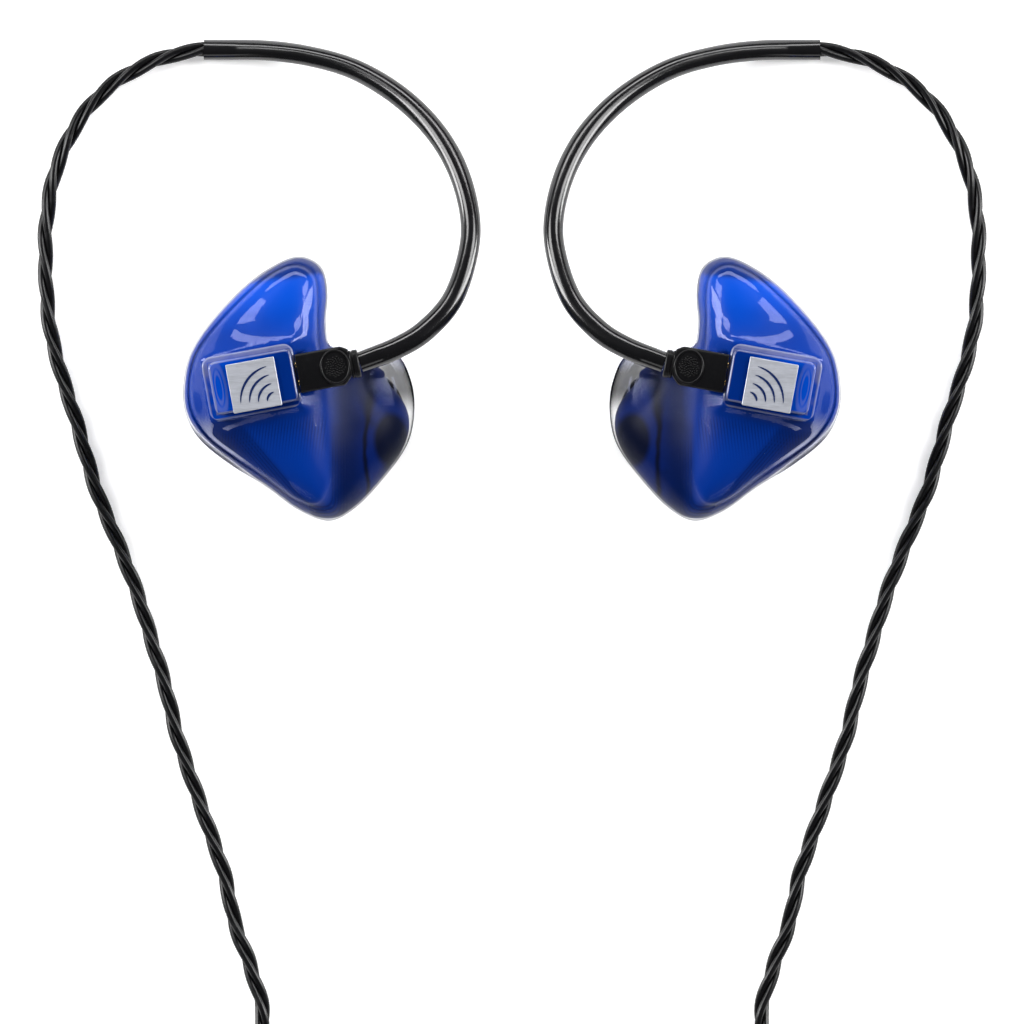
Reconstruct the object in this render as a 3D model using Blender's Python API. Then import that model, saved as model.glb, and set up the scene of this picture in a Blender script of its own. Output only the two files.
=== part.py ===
"""In-ear monitors: two custom-moulded earpieces on a detachable twisted cable.

The pair lies faceplates up on a table at z = 0, a mirror image about the plane x = 0.
Each earpiece is a hollow resin shell with a faceplate, a badge, a two-pin socket and
balanced-armature drivers. The cable's two-pin plugs carry formed ear hooks. Lengths
in this file are millimetres, and make_object turns them into metres.
"""

from math import cos, pi, radians, sin, tan

import bmesh
import bpy
import numpy as np
from mathutils import Matrix, Vector

MM = 0.001
SIDES = {"right": -1, "left": 1}  # the wearer's right earpiece lies at -x

# Outlines of one earpiece seen from above, on the +x side, anticlockwise from the outer edge.
RIM_OUTLINE = (
    (40.0, -13.6), (39.2, -9.6), (36.6, -5.9), (32.8, -2.0), (29.8, 0.5), (26.9, 1.6),
    (24.8, 0.5), (24.2, -2.0), (24.2, -5.4), (24.0, -8.6), (23.5, -11.2), (23.0, -13.6),
    (22.7, -16.0), (22.5, -18.4), (22.4, -20.8), (22.4, -23.4), (22.8, -26.0),
    (24.2, -28.0), (27.0, -27.3), (30.4, -24.8), (34.4, -22.1), (37.6, -19.6), (39.5, -16.8),
)
WIDEST_OUTLINE = (
    (40.9, -13.6), (40.1, -9.4), (37.6, -5.4), (33.6, -0.9), (30.4, 1.8), (26.8, 2.95),
    (23.9, 1.6), (23.0, -1.6), (23.2, -5.4), (22.4, -8.4), (18.6, -9.4), (14.8, -9.5),
    (12.6, -12.3), (12.1, -16.2), (13.0, -20.6), (16.2, -25.1), (19.6, -28.6),
    (22.8, -30.1), (26.6, -28.7), (30.6, -25.8), (35.0, -23.1), (38.7, -20.1), (40.5, -17.0),
)
LOWER_OUTLINE = (
    (33.0, -14.5), (32.6, -12.0), (31.2, -9.6), (29.4, -7.4), (27.6, -6.2), (26.0, -5.8),
    (24.8, -6.4), (24.0, -7.8), (23.2, -9.4), (21.6, -10.4), (18.6, -10.6), (15.4, -11.0),
    (13.6, -13.2), (13.2, -16.4), (14.2, -20.2), (16.6, -23.6), (19.2, -25.8),
    (21.8, -26.6), (24.6, -25.6), (27.2, -23.6), (29.8, -21.2), (31.8, -18.8), (32.7, -16.6),
)
OUTLINE_STAGES = (0, 1, 1.5, 2)  # the stages of the rim, the widest, the lower and the tip
TIP_CENTRE = (17.6, -17.2, 1.74)
TIP_RADII = (4.3, 5.6)
TIP_LEAN = radians(22)  # the canal tip faces down and inwards, towards the eardrum
AROUND = 34  # points round the shell

# Shell sections, rim to tip: the stage blends the outlines above into each other; then the
# height at the tip's centre line and the section plane's slope along x.
SHELL_LEVELS = (
    (0.00, 17.40, 0.000), (0.30, 15.70, 0.020), (0.65, 13.30, 0.075), (0.90, 11.40, 0.110),
    (1.00, 9.35, 0.135), (1.06, 7.50, 0.160), (1.18, 6.20, 0.185), (1.38, 5.50, 0.235),
    (1.60, 5.15, 0.270), (1.80, 4.65, 0.235), (1.93, 3.45, 0.000),
    (2.00, TIP_CENTRE[2], -tan(TIP_LEAN)),
)
# The hollow's sections, floor to rim: stage, height, slope and inset from the outside.
HOLLOW_LEVELS = (
    (1.40, 8.30, 0.205, 2.2), (1.18, 8.60, 0.175, 2.0), (1.00, 10.40, 0.130, 1.8),
    (0.65, 13.60, 0.075, 1.7), (0.00, 17.40, 0.000, 1.6),
)
BORE_RADIUS = 1.05
BORE_SPREAD = 1.6  # each sound bore's distance from the tip's centre along y
TUBE_RADII = (0.85, 0.5)

# Faceplate and boss. Boss positions are along the plug's axis (out from the head) and across.
PLATE_BOTTOM, PLATE_TOP = 17.7, 19.5
PLATE_RINGS = ((0.0, PLATE_BOTTOM), (0.0, 18.3), (0.03, 18.8), (0.10, 19.2), (0.30, PLATE_TOP))
PLATE_MIDDLE = (31.0, -13.0)
BOSS_CENTRE = (32.06, -12.84)
PLUG_TILT = radians(10.3)
ALONG = Vector((cos(PLUG_TILT), -sin(PLUG_TILT), 0))  # the way an earpiece pulls off
ACROSS = Vector((sin(PLUG_TILT), cos(PLUG_TILT), 0))
BOSS_FRAME = (-5.55, 5.95, 4.0, 20.9)  # inner end, outer end, half width, top
BOSS_PAD = (-5.25, 5.2, 3.3, 22.2)
BADGE = (-3.09, 3.0, -3.46, 2.63, 22.25, 22.7)  # ends, sides, bottom and top
POCKET = (-4.6, -1.1, 2.85, 21.5)
SOCKET_BLOCK = (-4.35, -1.4, 2.6, 18.4, 21.35)

# Two-pin plug. Its axis height is the pins' and the hook's.
PLUG_HEIGHT = 20.2
PIN_PITCH, PIN_RADIUS = 2.2, 0.39
PIN_ENDS = (-7.3, -2.6)
CONTACT_ENDS, CONTACT_RADII = (-4.3, -1.6), (0.7, 0.47)
PLUG_ENDS, PLUG_WIDTH, PLUG_THICK = (-12.25, -5.75), 4.85, 2.9
COLLAR_ENDS, COLLAR_WIDTH, COLLAR_THICK = (-13.1, -12.35), 3.5, 2.8
SEAT = (-14.0, -5.6, 2.7, 18.5)  # the flat that the plug lies over

# Ear hook: a shrink tube over a memory wire and the strands, down to the table.
HOOK_ROUTE = (
    (18.86, -10.45), (14.2, -8.6), (10.7, -6.4), (7.4, -2.6), (5.5, 2.9), (5.2, 7.6),
    (6.6, 13.2), (9.4, 18.2), (13.7, 22.6), (19.1, 26.0), (24.6, 27.8), (30.7, 28.7), (38.5, 28.8),
)
HOOK_RADIUS, HOOK_BORE = 1.3, 1.1
WIRE_RADIUS, WIRE_OFFSET = 0.3, 0.68
BUNDLE_RADIUS, BUNDLE_OFFSET = 0.55, -0.42
HOOK_STEPS = 25

# Free cable: a branch for each ear, the split, and the main cable's coil and jack.
BRANCH_RADIUS, MAIN_RADIUS = 1.0, 1.15
LYING = 0.02  # clearance between a lying cable and the table
RAISED = 2.4  # the cables' height inside the slider and the split
RISE_START, RISE_LENGTH = -138.0, 14.0  # where the branches come up to that height
BRANCH_ROUTE = (
    (38.8, 28.8), (44.2, 27.6), (49.8, 24.6), (54.0, 20.1), (56.9, 14.1), (58.1, 8.1),
    (58.3, 2.1), (57.8, -5.4), (56.4, -11.4), (54.5, -17.4), (52.0, -26.0), (49.4, -32.4),
    (47.0, -38.6), (45.2, -44.4), (43.4, -50.4), (41.9, -56.6), (40.0, -62.4), (37.9, -68.4),
    (35.9, -74.4), (34.6, -80.4), (32.6, -86.0), (31.1, -93.0), (33.6, -103.0),
    (42.5, -112.5), (48.0, -124.0), (43.5, -135.5), (30.0, -140.0), (17.0, -136.5),
    (7.0, -138.5), (2.6, -145.0), (1.6, -152.0), (1.6, -159.0), (1.6, -166.0), (1.6, -173.7),
)
BRANCH_STEP, MAIN_STEP = 5.4, 5.0
SPLIT_ENDS, SPLIT_WIDTHS = (-174.0, -188.0), (7.6, 5.0)
SLIDER_MIDDLE, SLIDER_SIZE = -168.4, (8.4, 8.0, 4.8)
SLIDER_BORE, BRANCH_GAP = 1.2, 1.6
COIL_CENTRE, COIL_RADIUS = (-26.0, -215.0), 12.5
COIL_COLUMNS, COIL_LAYERS, COIL_BASE = 3, 4, 0.7
LEAD_ROUTE = (
    (0, -188.3, RAISED), (-0.5, -191.8, 2.2), (-3.2, -195.6, 1.8), (-8, -197.6, 1.5),
    (-14, -198.0, 1.5), (-20, -197.7, 1.7), (-26, -197.6, 1.85),
)
TAIL_ROUTE = (
    (-26, -232.4, 1.85), (-18, -232.2, 1.5), (-10, -230.5, 1.4), (-4, -226.6, 1.6),
    (2, -222.5, 2.2), (8, -220.0, 3.0), (13.7, -219.4, 3.4),
)
TIE_WIDTH, TIE_THICK, TIE_GAP = 4.0, 0.45, 0.25
JACK_START = (14.0, -219.4, 3.4)


def smooth_route(points, step=None, count=None):
    """Points along a smooth curve through the given ones, evenly spaced by step or by count."""
    points = np.array(points, float)
    ends = 2 * points[[0, -1]] - points[[1, -2]]
    padded = np.vstack([ends[:1], points, ends[1:]])
    t = np.linspace(0, 1, 24, endpoint=False)[:, None]
    spans = []
    for a, b, c, d in zip(padded, padded[1:], padded[2:], padded[3:]):
        spans.append(0.5 * (2 * b + (c - a) * t + (2 * a - 5 * b + 4 * c - d) * t**2
                            + (3 * b - a - 3 * c + d) * t**3))
    fine = np.vstack(spans + [points[-1:]])
    gone = np.concatenate([[0], np.linalg.norm(np.diff(fine, axis=0), axis=1).cumsum()])
    count = count or int(round(gone[-1] / step)) + 1
    at = np.linspace(0, gone[-1], count)
    return np.column_stack([np.interp(at, gone, axis) for axis in fine.T])


def closed_outline(points, count):
    """A smooth closed outline through the given points, as count points."""
    points = np.array(points, float)
    n = len(points)
    at = np.arange(count) * n / count
    i = at.astype(int)
    t = (at - i)[:, None]
    a, b, c, d = (points[(i + k) % n] for k in (-1, 0, 1, 2))
    return 0.5 * (2 * b + (c - a) * t + (2 * a - 5 * b + 4 * c - d) * t**2
                  + (3 * b - a - 3 * c + d) * t**3)


def material(name, colour, roughness, metallic=0.0, transmission=0.0):
    found = bpy.data.materials.get(name)
    if found:
        return found
    made = bpy.data.materials.new(name)
    made.use_nodes = True
    shader = made.node_tree.nodes["Principled BSDF"]
    shader.inputs["Base Color"].default_value = (*colour, 1)
    shader.inputs["Roughness"].default_value = roughness
    shader.inputs["Metallic"].default_value = metallic
    shader.inputs["Transmission Weight"].default_value = transmission
    made.diffuse_color = (*colour, 1)
    return made


def make_object(name, rings, finish=None, side=1, looped=False):
    """One solid skinned over rings of points, in millimetres, mirrored in x for side -1."""
    bm = bmesh.new()
    scale = np.array([side, 1, 1]) * MM
    loops = [[bm.verts.new(point * scale) for point in ring] for ring in np.array(rings, float)]
    pairs = list(zip(loops, loops[1:])) + ([(loops[-1], loops[0])] if looped else [])
    for low, high in pairs:
        for i in range(len(low)):
            bm.faces.new((low[i - 1], low[i], high[i], high[i - 1]))
    if not looped:
        bm.faces.new(loops[0])
        bm.faces.new(loops[-1])
    bmesh.ops.recalc_face_normals(bm, faces=bm.faces)
    mesh = bpy.data.meshes.new(name)
    bm.to_mesh(mesh)
    bm.free()
    mesh.shade_smooth()
    mesh.set_sharp_from_angle(angle=radians(35))
    made = bpy.data.objects.new(name, mesh)
    bpy.context.scene.collection.objects.link(made)
    if finish:
        mesh.materials.append(finish)
    return made


def boolean(target, rings, operation, side=1):
    """Joins or cuts the target with a hidden solid."""
    helper = make_object(f"{target.name}_{operation.lower()}_{len(target.modifiers)}", rings, side=side)
    helper.hide_render = True
    helper.display_type = "WIRE"
    modifier = target.modifiers.new(operation.title(), "BOOLEAN")
    modifier.operation = operation
    modifier.solver = "EXACT"
    modifier.object = helper


def on_boss(along, across, height):
    """A point given from the boss's centre along and across the plug's axis."""
    flat = Vector((*BOSS_CENTRE, 0)) + along * ALONG + across * ACROSS
    return np.array([flat.x, flat.y, height])


def rounded_rectangle(low, high, corner, per_corner=3):
    """A rectangle's outline with round corners, anticlockwise, from two opposite corners."""
    (x0, y0), (x1, y1) = low, high
    centres = ((x1 - corner, y1 - corner), (x0 + corner, y1 - corner),
               (x0 + corner, y0 + corner), (x1 - corner, y0 + corner))
    return [
        (cx + corner * cos(a), cy + corner * sin(a))
        for quarter, (cx, cy) in enumerate(centres)
        for a in np.linspace(quarter * pi / 2, (quarter + 1) * pi / 2, per_corner)
    ]


def boss_slab(ends, half_width, heights, corner=1.0, edge=0.35):
    """Rings of an upright slab on the boss, with its top edge rounded over by edge."""
    low, high = (ends[0], -half_width), (ends[1], half_width)
    rings = []
    for inset, height in ((0, heights[0]), (0, heights[1] - edge), (edge, heights[1])):
        outline = rounded_rectangle((low[0] + inset, low[1] + inset),
                                    (high[0] - inset, high[1] - inset), max(corner - inset, 0.1))
        rings.append([on_boss(u, v, height) for u, v in outline])
    return rings


def circle(centre, radius, axis, sides, turn=0.0):
    """A ring of points about an axis. Rings of one straight piece line up with each other."""
    axis = Vector(axis).normalized()
    first = axis.cross(Vector((0, 0, 1)) if abs(axis.z) < 0.9 else Vector((0, 1, 0))).normalized()
    second = axis.cross(first)
    angles = np.arange(sides) * 2 * pi / sides + turn
    return [np.array(centre) + radius * (cos(a) * np.array(first) + sin(a) * np.array(second))
            for a in angles]


def turned(start, axis, profile, sides=16):
    """Rings of a turned piece: each profile pair is a distance along the axis and a radius."""
    axis = Vector(axis).normalized()
    return [circle(Vector(start) + along * axis, radius, axis, sides) for along, radius in profile]


def path_frames(path):
    """Unit tangents, level sideways vectors and the third direction, along a path."""
    tangents = np.gradient(path, axis=0)
    tangents /= np.linalg.norm(tangents, axis=1)[:, None]
    level = np.cross(tangents, [0, 0, 1])
    level /= np.linalg.norm(level, axis=1)[:, None]
    return tangents, level, np.cross(level, tangents)


def tube_rings(path, radius, sides):
    """Rings of one radius round each point of a path."""
    _, level, upright = path_frames(path)
    angles = (np.arange(sides) + 0.5) * 2 * pi / sides
    wheel = np.cos(angles)[:, None] * level[:, None] + np.sin(angles)[:, None] * upright[:, None]
    return path[:, None] + radius * wheel


def pipe(name, path, radii, sides, finish, side):
    """A hollow tube with open ends: out along its outside and back along its inside."""
    outer, inner = (tube_rings(path, radius, sides) for radius in radii)
    return make_object(name, [*outer, *inner[::-1]], finish, side, looped=True)


def free_tube(name, points, radius, finish, side=1):
    """A cable's tube: a curve with a round bevel and closed ends."""
    data = bpy.data.curves.new(name, "CURVE")
    data.dimensions = "3D"
    data.bevel_depth = radius * MM
    data.bevel_resolution = 2
    data.use_fill_caps = True
    spline = data.splines.new("POLY")
    spline.points.add(len(points) - 1)
    for slot, (x, y, z) in zip(spline.points, points):
        slot.co = (side * x * MM, y * MM, z * MM, 1)
    data.materials.append(finish)
    made = bpy.data.objects.new(name, data)
    bpy.context.scene.collection.objects.link(made)
    return made


def shell_section(stage, height, slope, inset=0.0):
    """One planar section of the shell, as points round its outline."""
    outlines = [closed_outline(points, AROUND)
                for points in (RIM_OUTLINE, WIDEST_OUTLINE, LOWER_OUTLINE)]
    angles = np.arange(AROUND) * 2 * pi / AROUND
    tip = np.column_stack([TIP_CENTRE[0] + TIP_RADII[0] * np.cos(angles),
                           TIP_CENTRE[1] + TIP_RADII[1] * np.sin(angles)])
    outlines.append(tip)
    span = max(i for i, at in enumerate(OUTLINE_STAGES[:-1]) if stage >= at)
    start, end = OUTLINE_STAGES[span:span + 2]
    share = (stage - start) / (end - start)
    flat = outlines[span] * (1 - share) + outlines[span + 1] * share
    run = np.roll(flat, -1, axis=0) - np.roll(flat, 1, axis=0)
    inward = np.column_stack([-run[:, 1], run[:, 0]]) / np.linalg.norm(run, axis=1)[:, None]
    flat = flat + inset * inward
    return np.column_stack([flat, height + slope * (flat[:, 0] - TIP_CENTRE[0])])


def tip_point(across, up):
    """A point up a sound bore from the tip's face, across from the tip's centre along y."""
    lean = np.array([sin(TIP_LEAN), 0, cos(TIP_LEAN)])
    return np.array(TIP_CENTRE) + [0, across, 0] + up * lean


def make_shell(name, side):
    hollow = [shell_section(*level) for level in HOLLOW_LEVELS]
    outside = [shell_section(*level) for level in SHELL_LEVELS]
    shell = make_object(f"{name}_shell", hollow + outside,
                        material("blue_resin", (0.0, 0.045, 0.42), 0.08, 0, 0.6), side)
    lean = Vector((sin(TIP_LEAN), 0, cos(TIP_LEAN)))
    for across in (-BORE_SPREAD, BORE_SPREAD):
        bore = turned(tip_point(across, -2), lean, ((0, BORE_RADIUS), (13, BORE_RADIUS)), 12)
        boolean(shell, bore, "DIFFERENCE", side)
    return shell


def make_faceplate(name, side):
    outline = closed_outline(RIM_OUTLINE, AROUND)
    middle = np.array(PLATE_MIDDLE)
    rings = [np.column_stack([outline + shrink * (middle - outline), np.full(AROUND, height)])
             for shrink, height in PLATE_RINGS]
    plate = make_object(f"{name}_faceplate", rings,
                        material("clear_blue_lacquer", (0.02, 0.09, 0.62), 0.05, 0, 0.7), side)
    inner, outer, half, top = BOSS_FRAME
    boolean(plate, boss_slab((inner, outer), half, (18.0, top), 1.2), "UNION", side)
    inner, outer, half, top = BOSS_PAD
    boolean(plate, boss_slab((inner, outer), half, (18.1, top), 1.0), "UNION", side)
    inner, outer, half, top = SEAT
    boolean(plate, boss_slab((inner, outer), half, (top, 24.0), 0.2), "DIFFERENCE", side)
    inner, outer, half, top = POCKET
    boolean(plate, boss_slab((inner, outer), half, (16.0, top), 0.3), "DIFFERENCE", side)
    for across in (-PIN_PITCH / 2, PIN_PITCH / 2):
        hole = turned(on_boss(-7, across, PLUG_HEIGHT), ALONG, ((0, 0.62), (3.5, 0.62)), 12)
        boolean(plate, hole, "DIFFERENCE", side)
    return plate


def make_badge(name, side):
    inner, outer, low, high, bottom, top = BADGE
    outline = rounded_rectangle((inner, low), (outer, high), 0.15, 2)
    rings = [[on_boss(u, v, height) for u, v in outline] for height in (bottom, top)]
    metal = material("brushed_metal", (0.75, 0.77, 0.8), 0.35, 1)
    return [make_object(f"{name}_badge", rings, metal, side)]


def make_socket(name, side):
    inner, outer, half, bottom, top = SOCKET_BLOCK
    block = make_object(f"{name}_socket_block", boss_slab((inner, outer), half, (bottom, top), 0.4, 0.1),
                        material("socket_plastic", (0.02, 0.02, 0.025), 0.4), side)
    gold = material("gold_plate", (0.83, 0.62, 0.25), 0.25, 1)
    made = [block]
    for label, across in (("lower", -PIN_PITCH / 2), ("upper", PIN_PITCH / 2)):
        hole = turned(on_boss(-5.5, across, PLUG_HEIGHT), ALONG, ((0, 0.85), (5, 0.85)), 12)
        boolean(block, hole, "DIFFERENCE", side)
        path = np.array([on_boss(along, across, PLUG_HEIGHT) for along in CONTACT_ENDS])
        made.append(pipe(f"{name}_socket_contact_{label}", path, CONTACT_RADII, 12, gold, side))
    return made


def driver_rings(centre, size, spout, toward):
    """A driver's case with its sound spout: size is (x, y, z), and the spout leaves along toward."""
    centre, size = np.array(centre, float), np.array(size, float)
    axis = int(np.argmax(np.abs(toward)))
    sign = float(np.sign(toward[axis]))
    others = [i for i in range(3) if i != axis]
    half = size[others] / 2
    reach = size[axis] / 2
    stations = ((-reach, 0.15), (0.25 - reach, 0), (reach - 0.25, 0), (reach, 0.15))
    outlines = [(at, half - cut, 0.4) for at, cut in stations]
    outlines += [(reach + 0.01, np.array([spout, spout]), spout * 0.6),
                 (reach + 0.7, np.array([spout, spout]), spout * 0.6)]
    rings = []
    for at, extent, corner in outlines:
        ring = []
        for p, q in rounded_rectangle(tuple(-extent), tuple(extent), corner, 3):
            point = centre.copy()
            point[axis] += sign * at
            point[others[0]] += p
            point[others[1]] += q
            ring.append(point)
        rings.append(ring)
    return rings


def make_inside(name, side):
    """Drivers, crossover board, sound tubes and dampers."""
    steel = material("driver_steel", (0.6, 0.6, 0.62), 0.3, 1)
    cases = (
        ("woofer_driver", (33.0, -14.4, 14.6), (6.2, 8.2, 3.9), 0.8, (-1, 0, 0)),
        ("mid_driver", (27.3, -20.9, 14.6), (4.2, 5.2, 2.9), 0.7, (-1, 0, 0)),
        ("tweeter_driver", (27.4, -11.6, 14.8), (2.8, 5.0, 3.6), 0.6, (-1, 0, 0)),
    )
    made = [make_object(f"{name}_{label}", driver_rings(*case), steel, side) for label, *case in cases]
    board = rounded_rectangle((26.2, -8.2), (31.0, -2.8), 0.4, 3)
    made.append(make_object(f"{name}_crossover_board",
                            [[(x, y, height) for x, y in board] for height in (14.2, 15.0)],
                            material("circuit_board", (0.02, 0.12, 0.05), 0.5), side))
    vinyl = material("clear_vinyl", (0.75, 0.8, 0.85), 0.15, 0, 0.7)
    routes = {
        "low": (-BORE_SPREAD, ((22.6, -18.4, 13.2), (25.2, -16.6, 14.4), (28.7, -15.9, 14.6))),
        "high": (BORE_SPREAD, ((22.2, -15.2, 12.9), (23.4, -13.4, 14.2), (24.9, -11.9, 14.8))),
    }
    foam = material("damper_plastic", (0.75, 0.72, 0.6), 0.6)
    for label, (across, bends) in routes.items():
        path = smooth_route([tip_point(across, up) for up in (3.2, 6.5, 9.5)] + list(bends), count=8)
        made.append(pipe(f"{name}_{label}_sound_tube", path, TUBE_RADII, 8, vinyl, side))
        damper = turned(tip_point(across, 0.3), tip_point(across, 1) - tip_point(across, 0),
                        ((0, 0.75), (0.2, 0.85), (2.4, 0.85), (2.6, 0.7)), 10)
        made.append(make_object(f"{name}_{label}_damper", damper, foam, side))
    return made


def plug_section(along, width, thick, corner):
    """A rounded section across the plug's axis."""
    outline = rounded_rectangle((-width / 2, -thick / 2), (width / 2, thick / 2), corner, 3)
    return [on_boss(along, v, PLUG_HEIGHT + w) for v, w in outline]


def make_plug(name, side):
    black = material("black_nylon", (0.012, 0.012, 0.013), 0.35)
    tail, face = PLUG_ENDS
    stations = ((tail, 0.9, 0.5), (tail + 0.9, 0.1, 0.3), (tail + 1.6, 0, 0),
                (face - 0.1, 0, 0), (face, 0.15, 0.15))
    body = make_object(f"{name}_plug_body",
                       [plug_section(along, PLUG_WIDTH - narrow, PLUG_THICK - thin, 0.4)
                        for along, narrow, thin in stations], black, side)
    gold = material("gold_plate", (0.83, 0.62, 0.25), 0.25, 1)
    made = [body]
    for label, across in (("lower", -PIN_PITCH / 2), ("upper", PIN_PITCH / 2)):
        hole = turned(on_boss(PIN_ENDS[0] - 0.2, across, PLUG_HEIGHT), ALONG, ((0, 0.55), (3, 0.55)), 12)
        boolean(body, hole, "DIFFERENCE", side)
        length = PIN_ENDS[1] - PIN_ENDS[0]
        pin = turned(on_boss(PIN_ENDS[0], across, PLUG_HEIGHT), ALONG,
                     ((0, PIN_RADIUS), (length - 0.3, PIN_RADIUS), (length, 0.2)), 12)
        made.append(make_object(f"{name}_plug_pin_{label}", pin, gold, side))
    collar = [plug_section(along, COLLAR_WIDTH, COLLAR_THICK, 1.2) for along in COLLAR_ENDS]
    made.append(make_object(f"{name}_plug_collar", collar, black, side))
    return made


def hook_path():
    """The hook's centre line: level at the plug, then down in one even slope to the table."""
    flat = smooth_route(HOOK_ROUTE, count=HOOK_STEPS)
    share = np.linspace(0, 1, HOOK_STEPS)
    eased = np.clip((share - 0.04) / 0.9, 0, 1)
    eased = eased * eased * (3 - 2 * eased) * 0.35 + eased * 0.65
    end = HOOK_RADIUS + 2 * LYING
    return np.column_stack([flat, PLUG_HEIGHT + (end - PLUG_HEIGHT) * eased])


def make_hook(name, side):
    path = hook_path()
    _, level, _ = path_frames(path)
    tube = pipe(f"{name}_hook_tube", path, (HOOK_RADIUS, HOOK_BORE), 8,
                material("smoky_shrink_tube", (0.02, 0.02, 0.022), 0.12, 0, 0.4), side)
    wire = make_object(f"{name}_memory_wire", tube_rings(path + WIRE_OFFSET * level, WIRE_RADIUS, 6),
                       material("spring_steel", (0.5, 0.5, 0.52), 0.3, 1), side)
    strands = make_object(f"{name}_hook_strands",
                          tube_rings(path + BUNDLE_OFFSET * level, BUNDLE_RADIUS, 6),
                          material("cable_jacket", (0.01, 0.01, 0.011), 0.3), side)
    return [tube, wire, strands]


def make_branch(name, side):
    flat = smooth_route(BRANCH_ROUTE, step=BRANCH_STEP)
    lying = BRANCH_RADIUS + LYING
    from_hook = np.clip(1 - (flat[:, 0] - 38.8) / 10, 0, 1) * (flat[:, 1] > 20)
    to_split = np.clip((RISE_START - flat[:, 1]) / RISE_LENGTH, 0, 1)
    to_split = to_split * to_split * (3 - 2 * to_split)
    height = lying + 0.3 * from_hook + (RAISED - lying) * to_split
    return free_tube(f"{name}_cable", np.column_stack([flat, height]), BRANCH_RADIUS,
                     material("cable_jacket", (0.01, 0.01, 0.011), 0.3), side)


def make_split_and_slider():
    rubber = material("split_rubber", (0.015, 0.015, 0.016), 0.5)
    top, bottom = SPLIT_ENDS
    wide, narrow = SPLIT_WIDTHS
    thick = 2 * RAISED
    stations = ((top, wide - 0.8, 0.4), (top - 0.5, wide, 0), (top - 7, wide, 0),
                (bottom + 1.5, narrow, 0.5), (bottom, narrow - 0.8, 0.9))
    rings = []
    for y, width, lowered in stations:
        outline = rounded_rectangle((-width / 2, 0), (width / 2, thick - lowered), 0.9, 4)
        rings.append([(x, y, z) for x, z in outline])
    make_object("y_split", rings, rubber)
    wide, long, thick = SLIDER_SIZE
    ends = (SLIDER_MIDDLE - long / 2, SLIDER_MIDDLE + long / 2)
    outline = rounded_rectangle((-wide / 2, 0), (wide / 2, thick), 1.4, 4)
    slider = make_object("slider", [[(x, y, z) for x, z in outline] for y in ends], rubber)
    for across in (-BRANCH_GAP, BRANCH_GAP):
        bore = turned((across, ends[0] - 1, RAISED), (0, 1, 0),
                      ((0, SLIDER_BORE), (long + 2, SLIDER_BORE)), 12)
        boolean(slider, bore, "DIFFERENCE")


def make_coil():
    jacket = material("cable_jacket", (0.01, 0.01, 0.011), 0.3)
    free_tube("main_cable_lead", smooth_route(LEAD_ROUTE, step=MAIN_STEP), MAIN_RADIUS, jacket)
    free_tube("main_cable_tail", smooth_route(TAIL_ROUTE, step=MAIN_STEP), MAIN_RADIUS, jacket)
    half_wide = COIL_COLUMNS * MAIN_RADIUS
    tall = COIL_LAYERS * 2 * MAIN_RADIUS
    section = rounded_rectangle((COIL_RADIUS - half_wide, COIL_BASE),
                                (COIL_RADIUS + half_wide, COIL_BASE + tall), 1.0, 3)
    rings = []
    for angle in np.arange(26) * 2 * pi / 26:
        rings.append([(COIL_CENTRE[0] + r * cos(angle), COIL_CENTRE[1] + r * sin(angle), z)
                      for r, z in section])
    make_object("main_cable_coil", rings, jacket, looped=True)
    grown = TIE_GAP + TIE_THICK
    near, far = COIL_RADIUS - half_wide - 0.1, COIL_RADIUS + half_wide
    loops = [rounded_rectangle((near - reach, COIL_BASE - reach),
                               (far + reach, COIL_BASE + tall + reach), 0.6, 3)
             for reach in (grown, TIE_GAP)]
    rings = []
    for loop, y in ((0, -1), (0, 1), (1, 1), (1, -1)):
        rings.append([(COIL_CENTRE[0] + r, COIL_CENTRE[1] + y * TIE_WIDTH / 2, z) for r, z in loops[loop]])
    make_object("coil_tie", rings, material("tie_fabric", (0.03, 0.03, 0.03), 0.8), looped=True)


def make_jack():
    """A straight 3.5 mm three-contact jack, lying beside the coil."""
    black = material("black_nylon", (0.012, 0.012, 0.013), 0.35)
    gold = material("gold_plate", (0.83, 0.62, 0.25), 0.25, 1)
    ring = material("insulator", (0.02, 0.02, 0.02), 0.4)
    pieces = (
        ("jack_strain_relief", 0.0, ((0, 1.5), (0.4, 1.7), (9.5, 2.4), (10, 2.3)), black),
        ("jack_housing", 10.1, ((0, 2.7), (0.6, 3.2), (1.2, 3.35), (14.4, 3.35), (15, 2.9)), black),
        ("jack_sleeve", 25.15, ((0, 1.75), (7.6, 1.75)), gold),
        ("jack_lower_insulator", 32.8, ((0, 1.7), (0.6, 1.7)), ring),
        ("jack_ring", 33.45, ((0, 1.75), (2.0, 1.75)), gold),
        ("jack_upper_insulator", 35.5, ((0, 1.7), (0.6, 1.7)), ring),
        ("jack_tip", 36.15, ((0, 1.75), (0.5, 1.75), (1.1, 1.2), (2.2, 1.6), (3.2, 0.7)), gold),
    )
    for name, start, profile, finish in pieces:
        make_object(name, turned(np.array(JACK_START) + [start, 0, 0], (1, 0, 0), profile, 16), finish)


def hold_on_slide(name, side, objects):
    """Parents an earpiece's solids to an empty whose x axis is the way it pulls off the plug."""
    start = on_boss(PLUG_ENDS[1], 0, PLUG_HEIGHT)
    turn = Matrix.Rotation(-side * PLUG_TILT + (pi if side < 0 else 0), 4, "Z")
    place = Matrix.Translation(Vector((side * start[0], start[1], start[2])) * MM) @ turn
    holder = bpy.data.objects.new(f"{name}_earpiece_slide", None)
    holder.matrix_world = place
    bpy.context.scene.collection.objects.link(holder)
    for made in objects:
        made.parent = holder
        made.matrix_parent_inverse = place.inverted()


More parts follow.
